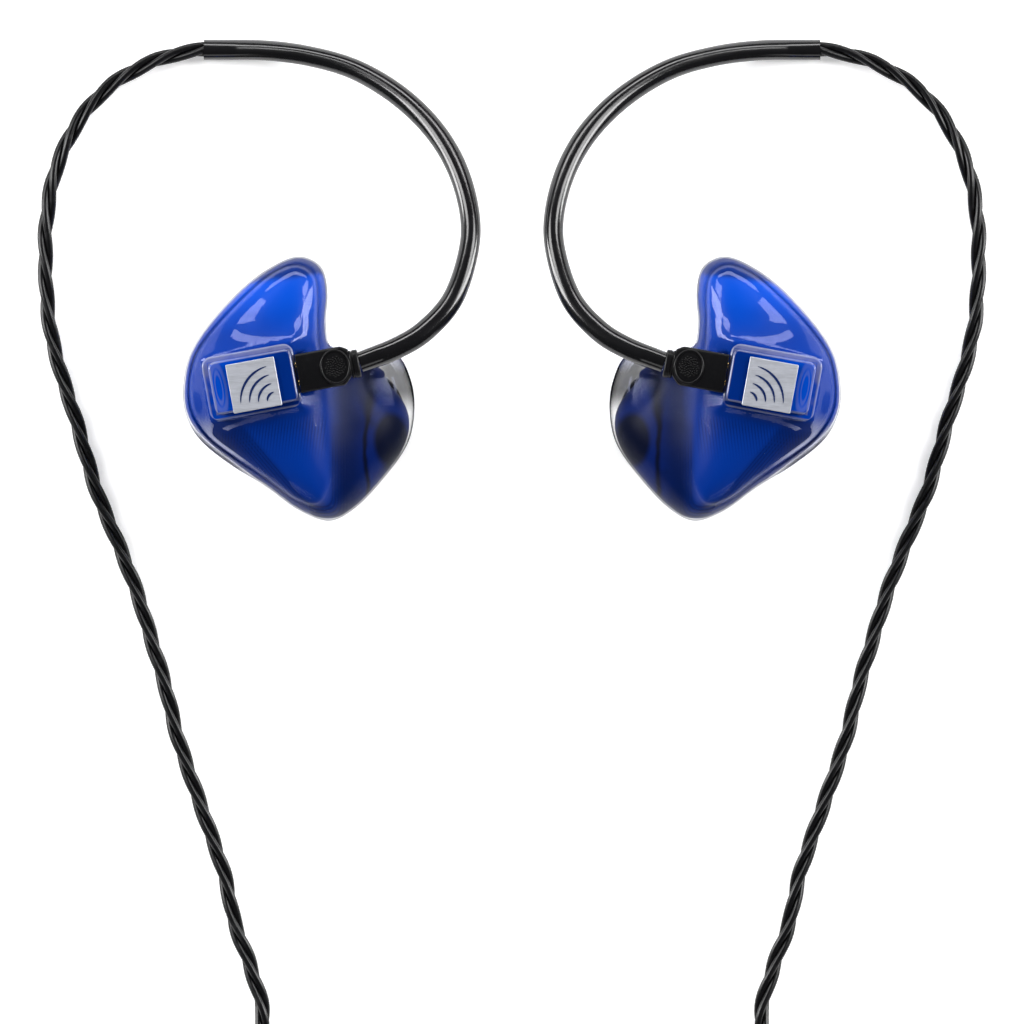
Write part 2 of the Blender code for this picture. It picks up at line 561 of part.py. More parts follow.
def main():
    for old in list(bpy.data.objects):
        bpy.data.objects.remove(old, do_unlink=True)
    for name, side in SIDES.items():
        earpiece = [make_shell(name, side), make_faceplate(name, side)]
        earpiece += make_badge(name, side) + make_socket(name, side) + make_inside(name, side)
        hold_on_slide(name, side, earpiece)
        make_plug(name, side)
        make_hook(name, side)
        make_branch(name, side)
    make_split_and_slider()
    make_coil()
    make_jack()


main()
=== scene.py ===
"""In-ear monitors: a pair of custom-moulded earpieces on a detachable twisted cable.

Two clear shells hold blue resin cores. A tile sits on a raised pad on each faceplate, a
two-pin plug with a formed ear hook goes in at its side, and the two branches meet in a
split, above a wound main cable with a 3.5 mm jack. Shapes are worked out in millimetres
on the wearer's left side, which lies at +x, and mirrored for the right.
"""

from math import cos, pi, radians, sin, tan

import bpy
import numpy as np
from bpy.props import FloatProperty, FloatVectorProperty, PointerProperty
from mathutils import Matrix, Vector


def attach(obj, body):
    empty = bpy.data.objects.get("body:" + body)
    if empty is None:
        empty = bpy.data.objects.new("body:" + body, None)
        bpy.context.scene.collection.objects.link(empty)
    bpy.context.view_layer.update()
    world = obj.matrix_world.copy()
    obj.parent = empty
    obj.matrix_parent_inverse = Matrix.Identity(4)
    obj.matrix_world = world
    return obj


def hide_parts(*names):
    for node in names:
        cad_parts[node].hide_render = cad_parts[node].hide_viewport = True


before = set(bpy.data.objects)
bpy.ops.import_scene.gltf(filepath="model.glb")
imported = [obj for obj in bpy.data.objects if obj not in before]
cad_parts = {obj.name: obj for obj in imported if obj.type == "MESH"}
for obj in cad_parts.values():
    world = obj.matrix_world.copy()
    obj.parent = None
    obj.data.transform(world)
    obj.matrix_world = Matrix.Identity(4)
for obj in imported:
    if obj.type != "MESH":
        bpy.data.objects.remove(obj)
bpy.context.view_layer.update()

bl_info = {
    "name": "In-ear monitors",
    "version": (1, 0, 0),
    "blender": (4, 5, 0),
    "location": "View3D > Sidebar > Earphones",
    "description": "Builds a pair of custom in-ear monitors with their cable and studio stage",
    "category": "Object",
}

MM = 0.001
SIDES = {"right": -1, "left": 1}

# One earpiece seen from above: the faceplate's rim and the shell's widest outline.
RIM_OUTLINE = (
    (40.0, -13.6), (39.2, -9.6), (36.6, -5.9), (32.8, -2.0), (29.8, 0.5), (26.9, 1.6),
    (24.8, 0.5), (24.2, -2.0), (24.2, -5.4), (24.0, -8.6), (23.5, -11.2), (23.0, -13.6),
    (22.7, -16.0), (22.5, -18.4), (22.4, -20.8), (22.4, -23.4), (22.8, -26.0),
    (24.2, -28.0), (27.0, -27.3), (30.4, -24.8), (34.4, -22.1), (37.6, -19.6), (39.5, -16.8),
)
WIDEST_OUTLINE = (
    (40.9, -13.6), (40.1, -9.4), (37.6, -5.4), (33.4, -0.9), (29.6, 1.8), (26.4, 2.9),
    (23.7, 1.6), (22.9, -1.6), (23.1, -5.4), (22.4, -8.4), (18.6, -9.3), (14.4, -9.3),
    (12.6, -12.3), (12.1, -16.2), (13.0, -20.6), (16.2, -25.1), (19.6, -28.6),
    (22.8, -30.1), (26.6, -28.7), (30.6, -25.8), (35.0, -23.1), (38.7, -20.1), (40.5, -17.0),
)
LOWER_OUTLINE = (
    (33.0, -14.5), (32.6, -12.0), (31.2, -9.6), (29.4, -7.4), (27.6, -6.2), (26.0, -5.8),
    (24.8, -6.4), (24.0, -7.8), (23.2, -9.4), (21.6, -10.4), (18.6, -10.6), (15.4, -11.0),
    (13.6, -13.2), (13.2, -16.4), (14.2, -20.2), (16.6, -23.6), (19.2, -25.8),
    (21.8, -26.6), (24.6, -25.6), (27.2, -23.6), (29.8, -21.2), (31.8, -18.8), (32.7, -16.6),
)
OUTLINE_STAGES = (-1, 0, 1, 1.5, 2)  # middle, rim, widest, lower and tip
TIP_CENTRE = (17.6, -17.2, 1.74)
TIP_RADII = (4.3, 5.6)
TIP_LEAN = radians(22)
BORE_SPREAD, BORE_RADIUS = 1.6, 1.05
PLATE_MIDDLE = (31.0, -13.0)
# Sections from the faceplate's middle (stage -1) over the rim (0) and the widest (1) to the
# canal tip (2): stage, height at the tip's centre line, slope along x.
SHELL_LEVELS = (
    (-1.00, 19.65, 0.000), (-0.72, 19.60, 0.000), (-0.50, 19.42, 0.000), (-0.32, 19.05, 0.000),
    (-0.18, 18.55, 0.000), (-0.07, 17.85, 0.000), (0.02, 17.00, 0.000), (0.12, 16.20, 0.010),
    (0.30, 15.10, 0.025),
    (0.65, 13.30, 0.075), (0.90, 11.40, 0.110), (1.00, 9.35, 0.135), (1.06, 7.50, 0.160),
    (1.18, 6.20, 0.185), (1.38, 5.50, 0.235), (1.60, 5.15, 0.270), (1.80, 4.65, 0.235),
    (1.93, 3.45, 0.000), (2.00, TIP_CENTRE[2], -tan(TIP_LEAN)),
)

LEAST_CLEAR = 0.22  # the least depth of the clear layer round the core
# Where the clear layer is deeper or shallower: x, y, reach and extra depth.
CLEAR_SPOTS = (
    (13.2, -10.8, 4.4, 3.1), (36.5, -22.0, 4.4, 0.5), (26.4, 2.9, 4.0, -0.05),
)

# The boss on the faceplate. Its positions run along the plug's axis and across it.
BOSS_CENTRE = (32.06, -12.84)
PLUG_TILT = radians(10.3)
ALONG = np.array([cos(PLUG_TILT), -sin(PLUG_TILT), 0])
ACROSS = np.array([sin(PLUG_TILT), cos(PLUG_TILT), 0])
BOSS_FRAME = ((-5.55, 5.95), (-4.0, 4.0), 1.25)  # ends, sides, corner radius
BOSS_PAD = ((-5.25, 5.2), (-3.3, 3.3), 0.95)
BADGE = ((-3.09, 3.0), (-3.46, 2.63), 0.12)
# Each slab's underside, top and edge roll.
FRAME_EDGE, PAD_EDGE, BADGE_EDGE = (18.0, 20.75, 0.28), (20.0, 22.2, 0.35), (22.2, 22.66, 0.07)
MARK_CORNER, MARK_RADII = (-2.45, -2.8), (1.1, 2.2, 3.3, 4.4)
MARK_HEIGHT, MARK_RELIEF = 22.64, 0.05

# The two-pin plug, along and across the same axis.
PLUG_HEIGHT = 20.2
BLOCK_ENDS, BLOCK_HALF, BLOCK_ROLL = (-12.28, -5.62), (2.42, 1.42), 0.14
NECK_ENDS, NECK_HALF, NECK_ROLL = (-13.35, -12.2), (1.75, 1.5), 0.2
PIN_PITCH, PIN_START = 2.2, -7.3
PIN_PROFILE = ((0, 0.39), (0.1, 0.39), (4.2, 0.39), (4.4, 0.36), (4.6, 0.29), (4.7, 0.16))
RING_MIDDLE, RING_RADII, RING_TUBE = -10.34, (1.85, 2.15), 0.16
GRAIN_BEADS, GRAIN_REACH = 61, 1.28

# Centre lines of the ear hook, the branch below it and the main cable.
HOOK_ROUTE = (
    (18.86, -10.45), (14.2, -8.6), (10.7, -6.4), (7.4, -2.6), (5.5, 2.9), (5.2, 7.6),
    (6.6, 13.2), (9.4, 18.2), (13.7, 22.6), (19.1, 26.0), (24.6, 27.8), (30.7, 28.7), (38.5, 28.8),
)
HOOK_RADIUS, HOOK_BORE = 1.3, 1.1
BRANCH_ROUTE = (
    (35.2, 28.8), (38.8, 28.8), (44.2, 27.6), (49.8, 24.6), (54.0, 20.1), (56.9, 14.1), (58.1, 8.1),
    (58.3, 2.1), (57.8, -5.4), (56.4, -11.4), (54.5, -17.4), (52.0, -26.0), (49.4, -32.4),
    (47.0, -38.6), (45.2, -44.4), (43.4, -50.4), (41.9, -56.6), (40.0, -62.4), (37.9, -68.4),
    (35.9, -74.4), (34.6, -80.4), (32.6, -86.0), (31.1, -93.0), (33.6, -103.0),
    (42.5, -112.5), (48.0, -124.0), (43.5, -135.5), (30.0, -140.0), (17.0, -136.5),
    (7.0, -138.5), (2.6, -145.0), (1.6, -152.0), (1.6, -159.0), (1.6, -166.0), (1.6, -176.5),
)
RAISED = 2.4
RISE_START, RISE_LENGTH = -138.0, 14.0
SPLIT_ENDS, SPLIT_WIDTHS = (-174.0, -188.0), (7.6, 5.0)
SLIDER_MIDDLE, SLIDER_SIZE = -168.4, (8.4, 8.0, 4.8)
BRANCH_GAP, SLIDER_BORE = 1.6, 1.2
COIL_CENTRE = (-26.0, -215.0)
LEAD_ROUTE = (
    (0, -185.5, RAISED), (0, -188.3, RAISED), (-0.5, -191.8, 2.2), (-3.2, -195.6, 1.8),
    (-8, -197.6, 1.5), (-14, -198.0, 1.5), (-20, -197.7, 1.7), (-25.5, -197.6, 1.85),
)
TAIL_ROUTE = (
    (-25.5, -232.4, 1.85), (-18, -232.2, 1.5), (-10, -230.5, 1.4), (-4, -226.6, 1.6),
    (2, -222.5, 2.2), (8, -220.0, 3.0), (13.7, -219.4, 3.4), (17.5, -219.4, 3.4),
)
# The coil: turns wound so far, radius, and height. Layers run in, out, in and out again.
COIL_STEPS = (
    (0.00, 17.4, 1.85), (0.35, 15.0, 1.85), (2.52, 10.0, 1.85), (2.77, 10.0, 4.15),
    (4.94, 15.0, 4.15), (5.19, 15.0, 6.45), (7.36, 10.0, 6.45), (7.61, 10.0, 8.75),
    (9.72, 14.9, 8.75), (9.85, 16.2, 8.75), (9.98, 17.65, 7.8), (10.50, 17.4, 1.85),
)
JACK_START = (14.0, -219.4, 3.4)


# ---------------------------------------------------------------- curves and surfaces

def even(line, count=None, step=None):
    """Points evenly spaced along a line: each coordinate read off against the length gone."""
    gone = np.concatenate([[0], np.linalg.norm(np.diff(line, axis=0), axis=1).cumsum()])
    count = count or int(round(gone[-1] / step)) + 1
    at = np.linspace(0, gone[-1], count)
    return np.column_stack([np.interp(at, gone, axis) for axis in line.T])


def smooth_route(points, count=None, step=None):
    """A Catmull-Rom curve through the points: on each span half of 2b + (c - a)t
    + (2a - 5b + 4c - d)t^2 + (3b - a - 3c + d)t^3, with a mirrored point past each end."""
    points = np.array(points, float)
    ends = 2 * points[[0, -1]] - points[[1, -2]]
    padded = np.vstack([ends[:1], points, ends[1:]])
    a, b, c, d = (padded[k:len(padded) - 3 + k, None] for k in range(4))
    t = np.linspace(0, 1, 24, endpoint=False)[None, :, None]
    fine = 0.5 * (2 * b + (c - a) * t + (2 * a - 5 * b + 4 * c - d) * t**2
                  + (3 * b - a - 3 * c + d) * t**3)
    fine = np.vstack([fine.reshape(-1, points.shape[1]), points[-1:]])
    return even(fine, count, step)


def closed_outline(points, count):
    """The same curve closed on itself, as count points."""
    points = np.array(points, float)
    at = np.arange(count) * len(points) / count
    i = at.astype(int)
    t = (at - i)[:, None]
    a, b, c, d = (points[(i + k) % len(points)] for k in (-1, 0, 1, 2))
    return 0.5 * (2 * b + (c - a) * t + (2 * a - 5 * b + 4 * c - d) * t**2
                  + (3 * b - a - 3 * c + d) * t**3)


def softened(values, count):
    """A running mean along the first axis, with the end values held past each end."""
    padded = np.concatenate([values[:1].repeat(count, 0), values, values[-1:].repeat(count, 0)])
    total = np.concatenate([np.zeros_like(padded[:1]), padded.cumsum(axis=0)])
    width = 2 * count + 1
    return (total[width:] - total[:-width]) / width


def frames(path):
    """Level and upright directions across a path: tangent x up, and that x tangent."""
    tangents = np.gradient(path, axis=0)
    tangents /= np.linalg.norm(tangents, axis=1)[:, None]
    level = np.cross(tangents, [0, 0, 1])
    level /= np.linalg.norm(level, axis=1)[:, None]
    return level, np.cross(level, tangents)


def tube(path, radius, sides=12):
    """Rings round a path: path + radius * (cos a * level + sin a * upright)."""
    level, upright = frames(path)
    angles = (np.arange(sides) + 0.5) * 2 * pi / sides
    wheel = (np.cos(angles)[:, None] * level[:, None] + np.sin(angles)[:, None] * upright[:, None])
    radius = np.asarray(radius, float)
    radius = radius[:, None, None] if radius.ndim == 1 else radius[..., None]
    return path[:, None] + radius * wheel


def lathe(start, axis, profile, sides=64, relief=0.0):
    """Rings of a turned piece: start + distance * axis, at the profile's radius plus relief."""
    distance, radius = np.array(profile, float).T
    axis = np.array(axis, float)
    level = np.cross(axis, [0, 0, 1])
    level /= np.linalg.norm(level)
    upright = np.cross(level, axis)
    angles = np.arange(sides) * 2 * pi / sides
    wheel = np.cos(angles)[:, None] * level + np.sin(angles)[:, None] * upright
    reach = radius[:, None] + relief
    return np.array(start) + distance[:, None, None] * axis + reach[..., None] * wheel


def twisted(path, strands, strand_radius, circle, lay, sides=10, turn=0.0):
    """Strands laid round each other: each centre is path + circle * (cos b * level + sin b
    * upright), where b grows by a full turn for each lay along the path."""
    gone = np.concatenate([[0], np.linalg.norm(np.diff(path, axis=0), axis=1).cumsum()])
    level, upright = frames(path)
    grids = []
    for strand in range(strands):
        b = (2 * pi * (gone / lay + strand / strands) + turn)[:, None]
        centre = path + circle * (np.cos(b) * level + np.sin(b) * upright)
        grids.append(tube(centre, np.full(len(path), strand_radius), sides))
    return np.array(grids), gone


def rounded_box(half, corner, per_corner=7):
    """A rectangle with round corners: the sign of (cos a, sin a) times the half sides less
    the corner radius, plus the corner radius times (cos a, sin a)."""
    a = np.concatenate([np.linspace(k, k + 1, per_corner) for k in range(4)]) * pi / 2
    mid = (np.repeat(np.arange(4), per_corner) + 0.5) * pi / 2
    signs = np.column_stack([np.sign(np.cos(mid)), np.sign(np.sin(mid))])
    return signs * (np.array(half) - corner) + corner * np.column_stack([np.cos(a), np.sin(a)])


def on_boss(along, across, height):
    """Points given along and across the plug's axis from the boss's centre, and by height."""
    along, across, height = np.broadcast_arrays(along, across, height)
    base = np.array([*BOSS_CENTRE, 0.0])
    return (base + along[..., None] * ALONG + across[..., None] * ACROSS
            + height[..., None] * np.array([0.0, 0, 1]))


def slab(ends, sides, corner, profile):
    """Rings of a rounded slab on the boss: the box drawn in by each inset, at each height."""
    middle = np.array([sum(ends) / 2, sum(sides) / 2])
    half = np.array([(ends[1] - ends[0]) / 2, (sides[1] - sides[0]) / 2])
    rings = []
    for inset, height in profile:
        flat = middle + rounded_box(half - inset, max(corner - inset, 0.02))
        rings.append(on_boss(flat[:, 0], flat[:, 1], height))
    return np.array(rings)


def rolled(distance, radius, depth=None):
    """How far an end is drawn in at a distance d from it, within the radius r:
    depth * (1 - root(1 - (1 - d/r)^2)), a quarter circle where the depth is the radius."""
    left = (1 - distance / radius).clip(0)
    return (depth or radius) * (1 - np.sqrt(np.clip(1 - left**2, 0, 1)))


def rolled_edge(bottom, top, radius, steps=6):
    """A slab's profile as (inset, height): straight up, then a quarter circle, then flat."""
    a = np.linspace(0, pi / 2, steps)
    return ([(0, bottom), (0, top - radius - 0.05)]
            + list(zip(radius * (1 - np.cos(a)), top - radius + radius * np.sin(a)))
            + [(radius + 0.06, top)])


def shape(name, grids, finish, body, side=1, looped=False, flow=None, replaces=()):
    """One closed mesh over grids of points, rows along it and columns round it, in mm.

    Each face joins neighbours (r, c), (r, c + 1), (r + 1, c + 1), (r + 1, c). The end rings
    close on their mean points, or with looped the last row joins the first. If the summed
    signed volume is negative, every face is turned round.
    """
    grids = np.asarray(grids, float) * (side, 1, 1) * MM
    grids = grids[None] if grids.ndim == 3 else grids
    strands, rows, columns, _ = grids.shape
    index = np.arange(strands * rows * columns).reshape(strands, rows, columns)
    low = index if looped else index[:, :-1]
    high = np.roll(index, -1, axis=1) if looped else index[:, 1:]
    quads = np.stack([low, np.roll(low, -1, 2), np.roll(high, -1, 2), high], -1).reshape(-1, 4)
    points = grids.reshape(-1, 3)
    fans = np.zeros((0, 3), int)
    if not looped:
        hubs = grids[:, [0, -1]].mean(axis=2)
        hub = len(points) + np.arange(strands * 2).reshape(strands, 2, 1)
        rim = index[:, [0, -1]].copy()
        rim[:, 1] = rim[:, 1, ::-1]
        fans = np.stack([np.broadcast_to(hub, rim.shape), np.roll(rim, -1, 2), rim], -1)
        fans = fans.reshape(-1, 3)
        points = np.vstack([points, hubs.reshape(-1, 3)])
    corners = np.vstack([quads[:, :3], quads[:, [0, 2, 3]], fans])
    if np.linalg.det(points[corners] - points.mean(axis=0)).sum() < 0:
        quads, fans = quads[:, ::-1], fans[:, ::-1]
    mesh = bpy.data.meshes.new(name)
    mesh.from_pydata(points, [], quads.tolist() + fans.tolist())
    mesh.shade_smooth()
    mesh.set_sharp_from_angle(angle=radians(38))
    if flow is not None:
        row = np.tile(np.repeat(np.asarray(flow, float), columns), strands)
        turn = np.tile(np.arange(columns) / columns, strands * rows)
        strand = np.repeat(np.arange(strands), rows * columns)
        values = np.zeros((len(points), 3), np.float32)
        values[:len(row)] = np.column_stack([row, turn, strand])
        values[len(row):, 0] = np.tile([row[0], row[-1]], strands)[:len(points) - len(row)]
        mesh.attributes.new("flow", "FLOAT_VECTOR", "POINT").data.foreach_set(
            "vector", values.ravel())
    mesh.materials.append(finish)
    made = bpy.data.objects.new(name, mesh)
    bpy.context.scene.collection.objects.link(made)
    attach(made, body)
    if replaces:
        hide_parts(*replaces)
    return made


# ---------------------------------------------------------------- shell shape

def boss_place(x, y):
    """A plan position's distances along and across the plug's axis from the boss's centre."""
    dx, dy = x - BOSS_CENTRE[0], y - BOSS_CENTRE[1]
    return dx * ALONG[0] + dy * ALONG[1], dx * ACROSS[0] + dy * ACROSS[1]


def smooth_step(values, low, high):
    """3t^2 - 2t^3, where t is how far a value is from low to high, held to 0 to 1."""
    t = np.clip((values - low) / (high - low), 0, 1)
    return t * t * (3 - 2 * t)


def outlines(count):
    """The faceplate's middle, the rim, the widest, the lower and the tip outline, stacked."""
    angles = np.arange(count) * 2 * pi / count
    tip = np.column_stack([TIP_CENTRE[0] + TIP_RADII[0] * np.cos(angles),
                           TIP_CENTRE[1] + TIP_RADII[1] * np.sin(angles)])
    middle = np.tile(PLATE_MIDDLE, (count, 1))
    return np.stack([middle] + [closed_outline(points, count) for points in
                                (RIM_OUTLINE, WIDEST_OUTLINE, LOWER_OUTLINE)] + [tip])


def shell_grid(rows=150, around=192, inset=0.0, lowered=0.0, seat=18.45):
    """A skin of the shell. The plan outline at a stage blends its two neighbours in the list
    evenly, and height is the level's height plus its slope times the distance from the
    tip's centre line. For the core, each point moves inwards across its outline by the
    inset and its spots, fading out on the faceplate, is averaged with four neighbours on
    each side and kept the least clear depth inside the skin, and the top is lowered."""
    scale = np.array([9.0, 1.0, 12.0])
    line = smooth_route(np.array(SHELL_LEVELS) * scale, count=rows * 4) / scale
    line = even(line[line[:, 0] > -0.996] * scale, count=rows) / scale
    stage, height, slope = line.T[:, :, None]
    span = np.clip(np.searchsorted(OUTLINE_STAGES, stage[:, 0], "right") - 1, 0, 3)
    start, end = np.array(OUTLINE_STAGES)[[span, span + 1]]
    share = np.clip((stage[:, 0] - start) / (end - start), 0, 1)[:, None, None]
    stack = outlines(around)
    flat = stack[span] * (1 - share) + stack[span + 1] * share
    x, y = flat[..., 0], flat[..., 1]
    if inset:
        depth = inset + sum(extra * np.exp(-((x - u)**2 + (y - v)**2) / reach**2)
                            for u, v, reach, extra in CLEAR_SPOTS)
        fade = smooth_step(stage, -0.75, -0.05) * (1 - 0.75 * smooth_step(stage, 1.7, 2))
        run = softened(np.roll(flat, -3, axis=1) - np.roll(flat, 3, axis=1), 2)
        inward = np.stack([-run[..., 1], run[..., 0]], -1)
        inward = inward / np.linalg.norm(inward, axis=2)[..., None]
        moved = flat + (depth * fade)[..., None] * inward
        moved = sum(np.roll(moved, k, axis=1) for k in range(-4, 5)) / 9
        short = LEAST_CLEAR * fade - ((moved - flat) * inward).sum(axis=2)
        flat = moved + np.maximum(short, 0)[..., None] * inward
    slope = slope * (flat[..., 0] - TIP_CENTRE[0])
    raised = 1.3 * (lowered > 0) * smooth_step(stage, 0.9, 1.3) * (1 - smooth_step(stage, 1.6, 2))
    drop = lowered * (1 - smooth_step(stage, -0.1, 0.8))
    return plate_relief(softened(np.dstack([flat, height + slope + raised - drop]), 2), seat)


def plate_relief(grid, seat_height):
    """Adds the trough's rise beside the boss, 1.3(1 - d/w)^2 at distance d from its frame,
    with w 4 mm above the boss and 2 mm below, and cuts the flat seat under the plug."""
    x, y, z = np.moveaxis(grid, 2, 0)
    u, v = boss_place(x, y)
    (u0, u1), (_, v1), _ = BOSS_FRAME
    beside = np.hypot(np.maximum(np.abs(u - (u0 + u1) / 2) - (u1 - u0) / 2, 0),
                      np.maximum(np.abs(v) - v1, 0))
    above = smooth_step(v, 2.0, 4.5)
    on_top = smooth_step(z, 15.0, 17.5)
    seat = smooth_step(-u, 5.3, 5.9) * (1 - smooth_step(np.abs(v), 2.3, 2.7)) * on_top
    rise = (0.6 + 0.7 * above) * np.clip(1 - beside / (1.6 + 2.4 * above), 0, 1)**2
    z = z + rise * on_top * (1 - seat)
    return np.dstack([x, y, z + np.minimum(seat_height - z, 0) * seat])


# ---------------------------------------------------------------- shader building

class Value:
    """A number from a shader socket. Arithmetic on it adds the Math nodes it stands for."""

    def __init__(self, tree, socket):
        self.tree, self.socket = tree, socket

    def math(self, operation, *others, clamp=False):
        node = self.tree.nodes.new("ShaderNodeMath")
        node.operation = operation
        node.use_clamp = clamp
        for slot, value in zip(node.inputs, (self, *others)):
            put(self.tree, slot, value)
        return Value(self.tree, node.outputs[0])

    def __add__(self, other):
        return self.math("ADD", other)

    def __mul__(self, other):
        return self.math("MULTIPLY", other)

    def __sub__(self, other):
        return self.math("SUBTRACT", other)

    def __rsub__(self, other):
        return (self * -1.0).math("ADD", other)

    def __truediv__(self, other):
        return self.math("DIVIDE", other)

    def __pow__(self, other):
        return self.math("POWER", other)

    __radd__ = __add__
    __rmul__ = __mul__

    def held(self):
        """The value kept between 0 and 1."""
        return self.math("ADD", 0.0, clamp=True)

    def wave(self):
        return self.math("SINE")

    def size(self):
        return self.math("ABSOLUTE")


def put(tree, slot, value):
    """Sets a socket's own value, or links it."""
    if isinstance(value, Value):
        tree.links.new(value.socket, slot)
    elif hasattr(slot.default_value, "__len__") and len(slot.default_value) == 4:
        slot.default_value = (*value[:3], 1.0)
    else:
        slot.default_value = value


class Finish:
    """A material's node tree, with one Principled shader that constants and values feed."""

    def __init__(self, name, **constants):
        self.material = bpy.data.materials.new(name)
        self.material.use_nodes = True
        self.tree = self.material.node_tree
        self.shader = self.tree.nodes["Principled BSDF"]
        self.set(**constants)

    def set(self, **values):
        """Feeds the shader's sockets, named in lower case with underscores."""
        for name, value in values.items():
            put(self.tree, self.shader.inputs[name.replace("_", " ").title().replace("Ior", "IOR")],
                value)
        return self

    def node(self, kind, output=0, settings=None, **values):
        """Any other node: its settings are set first, then its sockets by name."""
        node = self.tree.nodes.new(kind)
        for key, value in (settings or {}).items():
            setattr(node, key, value)
        sockets = {s.name.lower().replace(" ", "_"): s for s in reversed(node.inputs) if s.enabled}
        for key, value in values.items():
            put(self.tree, sockets[key], value)
        return Value(self.tree, node.outputs[output])

    def place(self):
        return self.node("ShaderNodeTexCoord", "Object")

    def in_mm(self):
        """Object coordinates in mm, with x as the distance from the middle plane."""
        x, y, z = [part * 1000.0 for part in self.split(self.place())]
        return x.size(), y, z

    def oval(self, x, y, across, up, wide, high):
        """Distance from a centre, 1 on the oval of these half sizes."""
        x, y = (x - across) / wide, (y - up) / high
        return (x * x + y * y) ** 0.5

    def flow(self):
        """Distance along in mm, share of the turn and strand number, from the mesh."""
        return self.split(self.node("ShaderNodeAttribute", "Vector",
                                    {"attribute_name": "flow", "attribute_type": "GEOMETRY"}))

    def split(self, vector):
        node = self.tree.nodes.new("ShaderNodeSeparateXYZ")
        put(self.tree, node.inputs[0], vector)
        return [Value(self.tree, out) for out in node.outputs]

    def noise(self, scale, detail=3.0, roughness=0.55, vector=None, **more):
        return self.node("ShaderNodeTexNoise", "Fac", None, vector=vector or self.place(),
                         scale=scale, detail=detail, roughness=roughness, **more)

    def stretched(self, x, y, z, turn=0.0, vector=None):
        """A vector scaled, then turned about z by the Mapping node."""
        return self.node("ShaderNodeMapping", 0, None, vector=vector or self.place(),
                         scale=(x, y, z), rotation=(0, 0, turn))

    def step(self, value, low, high):
        """A smooth rise from 0 at low to 1 at high."""
        return self.node("ShaderNodeMapRange", 0, {"interpolation_type": "SMOOTHSTEP"},
                         value=value, from_min=low, from_max=high)

    def mix(self, a, b, share):
        """Colour a, with share of colour b."""
        node = self.tree.nodes.new("ShaderNodeMix")
        node.data_type = "RGBA"
        put(self.tree, node.inputs["Factor"], share)
        put(self.tree, node.inputs[6], a)
        put(self.tree, node.inputs[7], b)
        return Value(self.tree, node.outputs[2])

    def bump(self, height, depth_mm, strength=1.0):
        self.set(normal=self.node("ShaderNodeBump", 0, None, height=height,
                                  distance=depth_mm * MM, strength=strength))
        return self

    def seen_through(self, factor, tint=(1, 1, 1)):
        """Mixes the shader with a clear one by factor, 1 being wholly clear."""
        out = self.tree.nodes["Material Output"]
        clear = self.tree.nodes.new("ShaderNodeBsdfTransparent")
        put(self.tree, clear.inputs[0], tint)
        blend = self.tree.nodes.new("ShaderNodeMixShader")
        put(self.tree, blend.inputs[0], factor)
        self.tree.links.new(self.shader.outputs[0], blend.inputs[1])
        self.tree.links.new(clear.outputs[0], blend.inputs[2])
        self.tree.links.new(blend.outputs[0], out.inputs["Surface"])
        return self


# ---------------------------------------------------------------- finishes

# Places on a shell that its finishes mark, in mm: x, y and, for an oval, its half widths.
CANAL_SHOULDER, PLATE_CORNER = (13.2, -11.4, 1.0, 1.0), (37.5, -22.5, 1.0, 1.0)
CANAL_OVAL = (15.0, -20.0, 2.3, 3.6)
WINDOW_LEFT, WINDOW_FOOT, WINDOW_FAR = 22.5, -28.2, ((30.1, -22.05), (-0.767, 0.642))
RING_PITCH, LINE_PITCH = 0.36, 0.38


def clear_lacquer():
    """Clear resin as a thin sheet. Face on it mirrors a twenty-fifth of the light, and more
    by the fifth power as it turns away, where it also greys, most along the upper lobe and
    at the canal's shoulder. The canal and the slope down to it mirror least."""
    f = Finish("clear_lacquer", metallic=1.0, specular_tint=(0.12, 0.125, 0.17))
    x, y, _ = f.in_mm()
    away = f.node("ShaderNodeLayerWeight", "Facing", None, blend=0.5)
    tone = f.noise(90.0, 2.0)
    top = f.step(y, -8.0, 0.0)
    shoulder = 1 - f.step(f.oval(x, y, *CANAL_SHOULDER), 2.2, 5.6)
    corner = 1 - f.step(f.oval(x, y, *PLATE_CORNER), 2.0, 6.0)
    inboard = 1 - f.step(x, 12.5, 16.5)
    grey = f.step(away, 0.74, 0.99) * (0.30 + 0.5 * top + 0.45 * inboard) + corner * 0.46
    grey = grey + shoulder * (0.36 + 0.34 * tone)
    dim = (1 - f.step(x, 23.5, 28.5)) * (1 - f.step(y, -12.0, -8.5))
    bright = f.mix((0.42, 0.44, 0.56), (0.011, 0.012, 0.017), dim)
    f.set(base_color=f.mix(bright, (0.10, 0.105, 0.14), f.step(away, 0.35, 0.85) * (1 - dim)),
          roughness=0.035 + 0.05 * tone)
    f.bump(tone, 0.02, 0.35)
    shadow = f.node("ShaderNodeLightPath", "Is Shadow Ray")
    return f.seen_through((0.965 - (away ** 5.0) * 0.8 - grey + shadow).held()).material


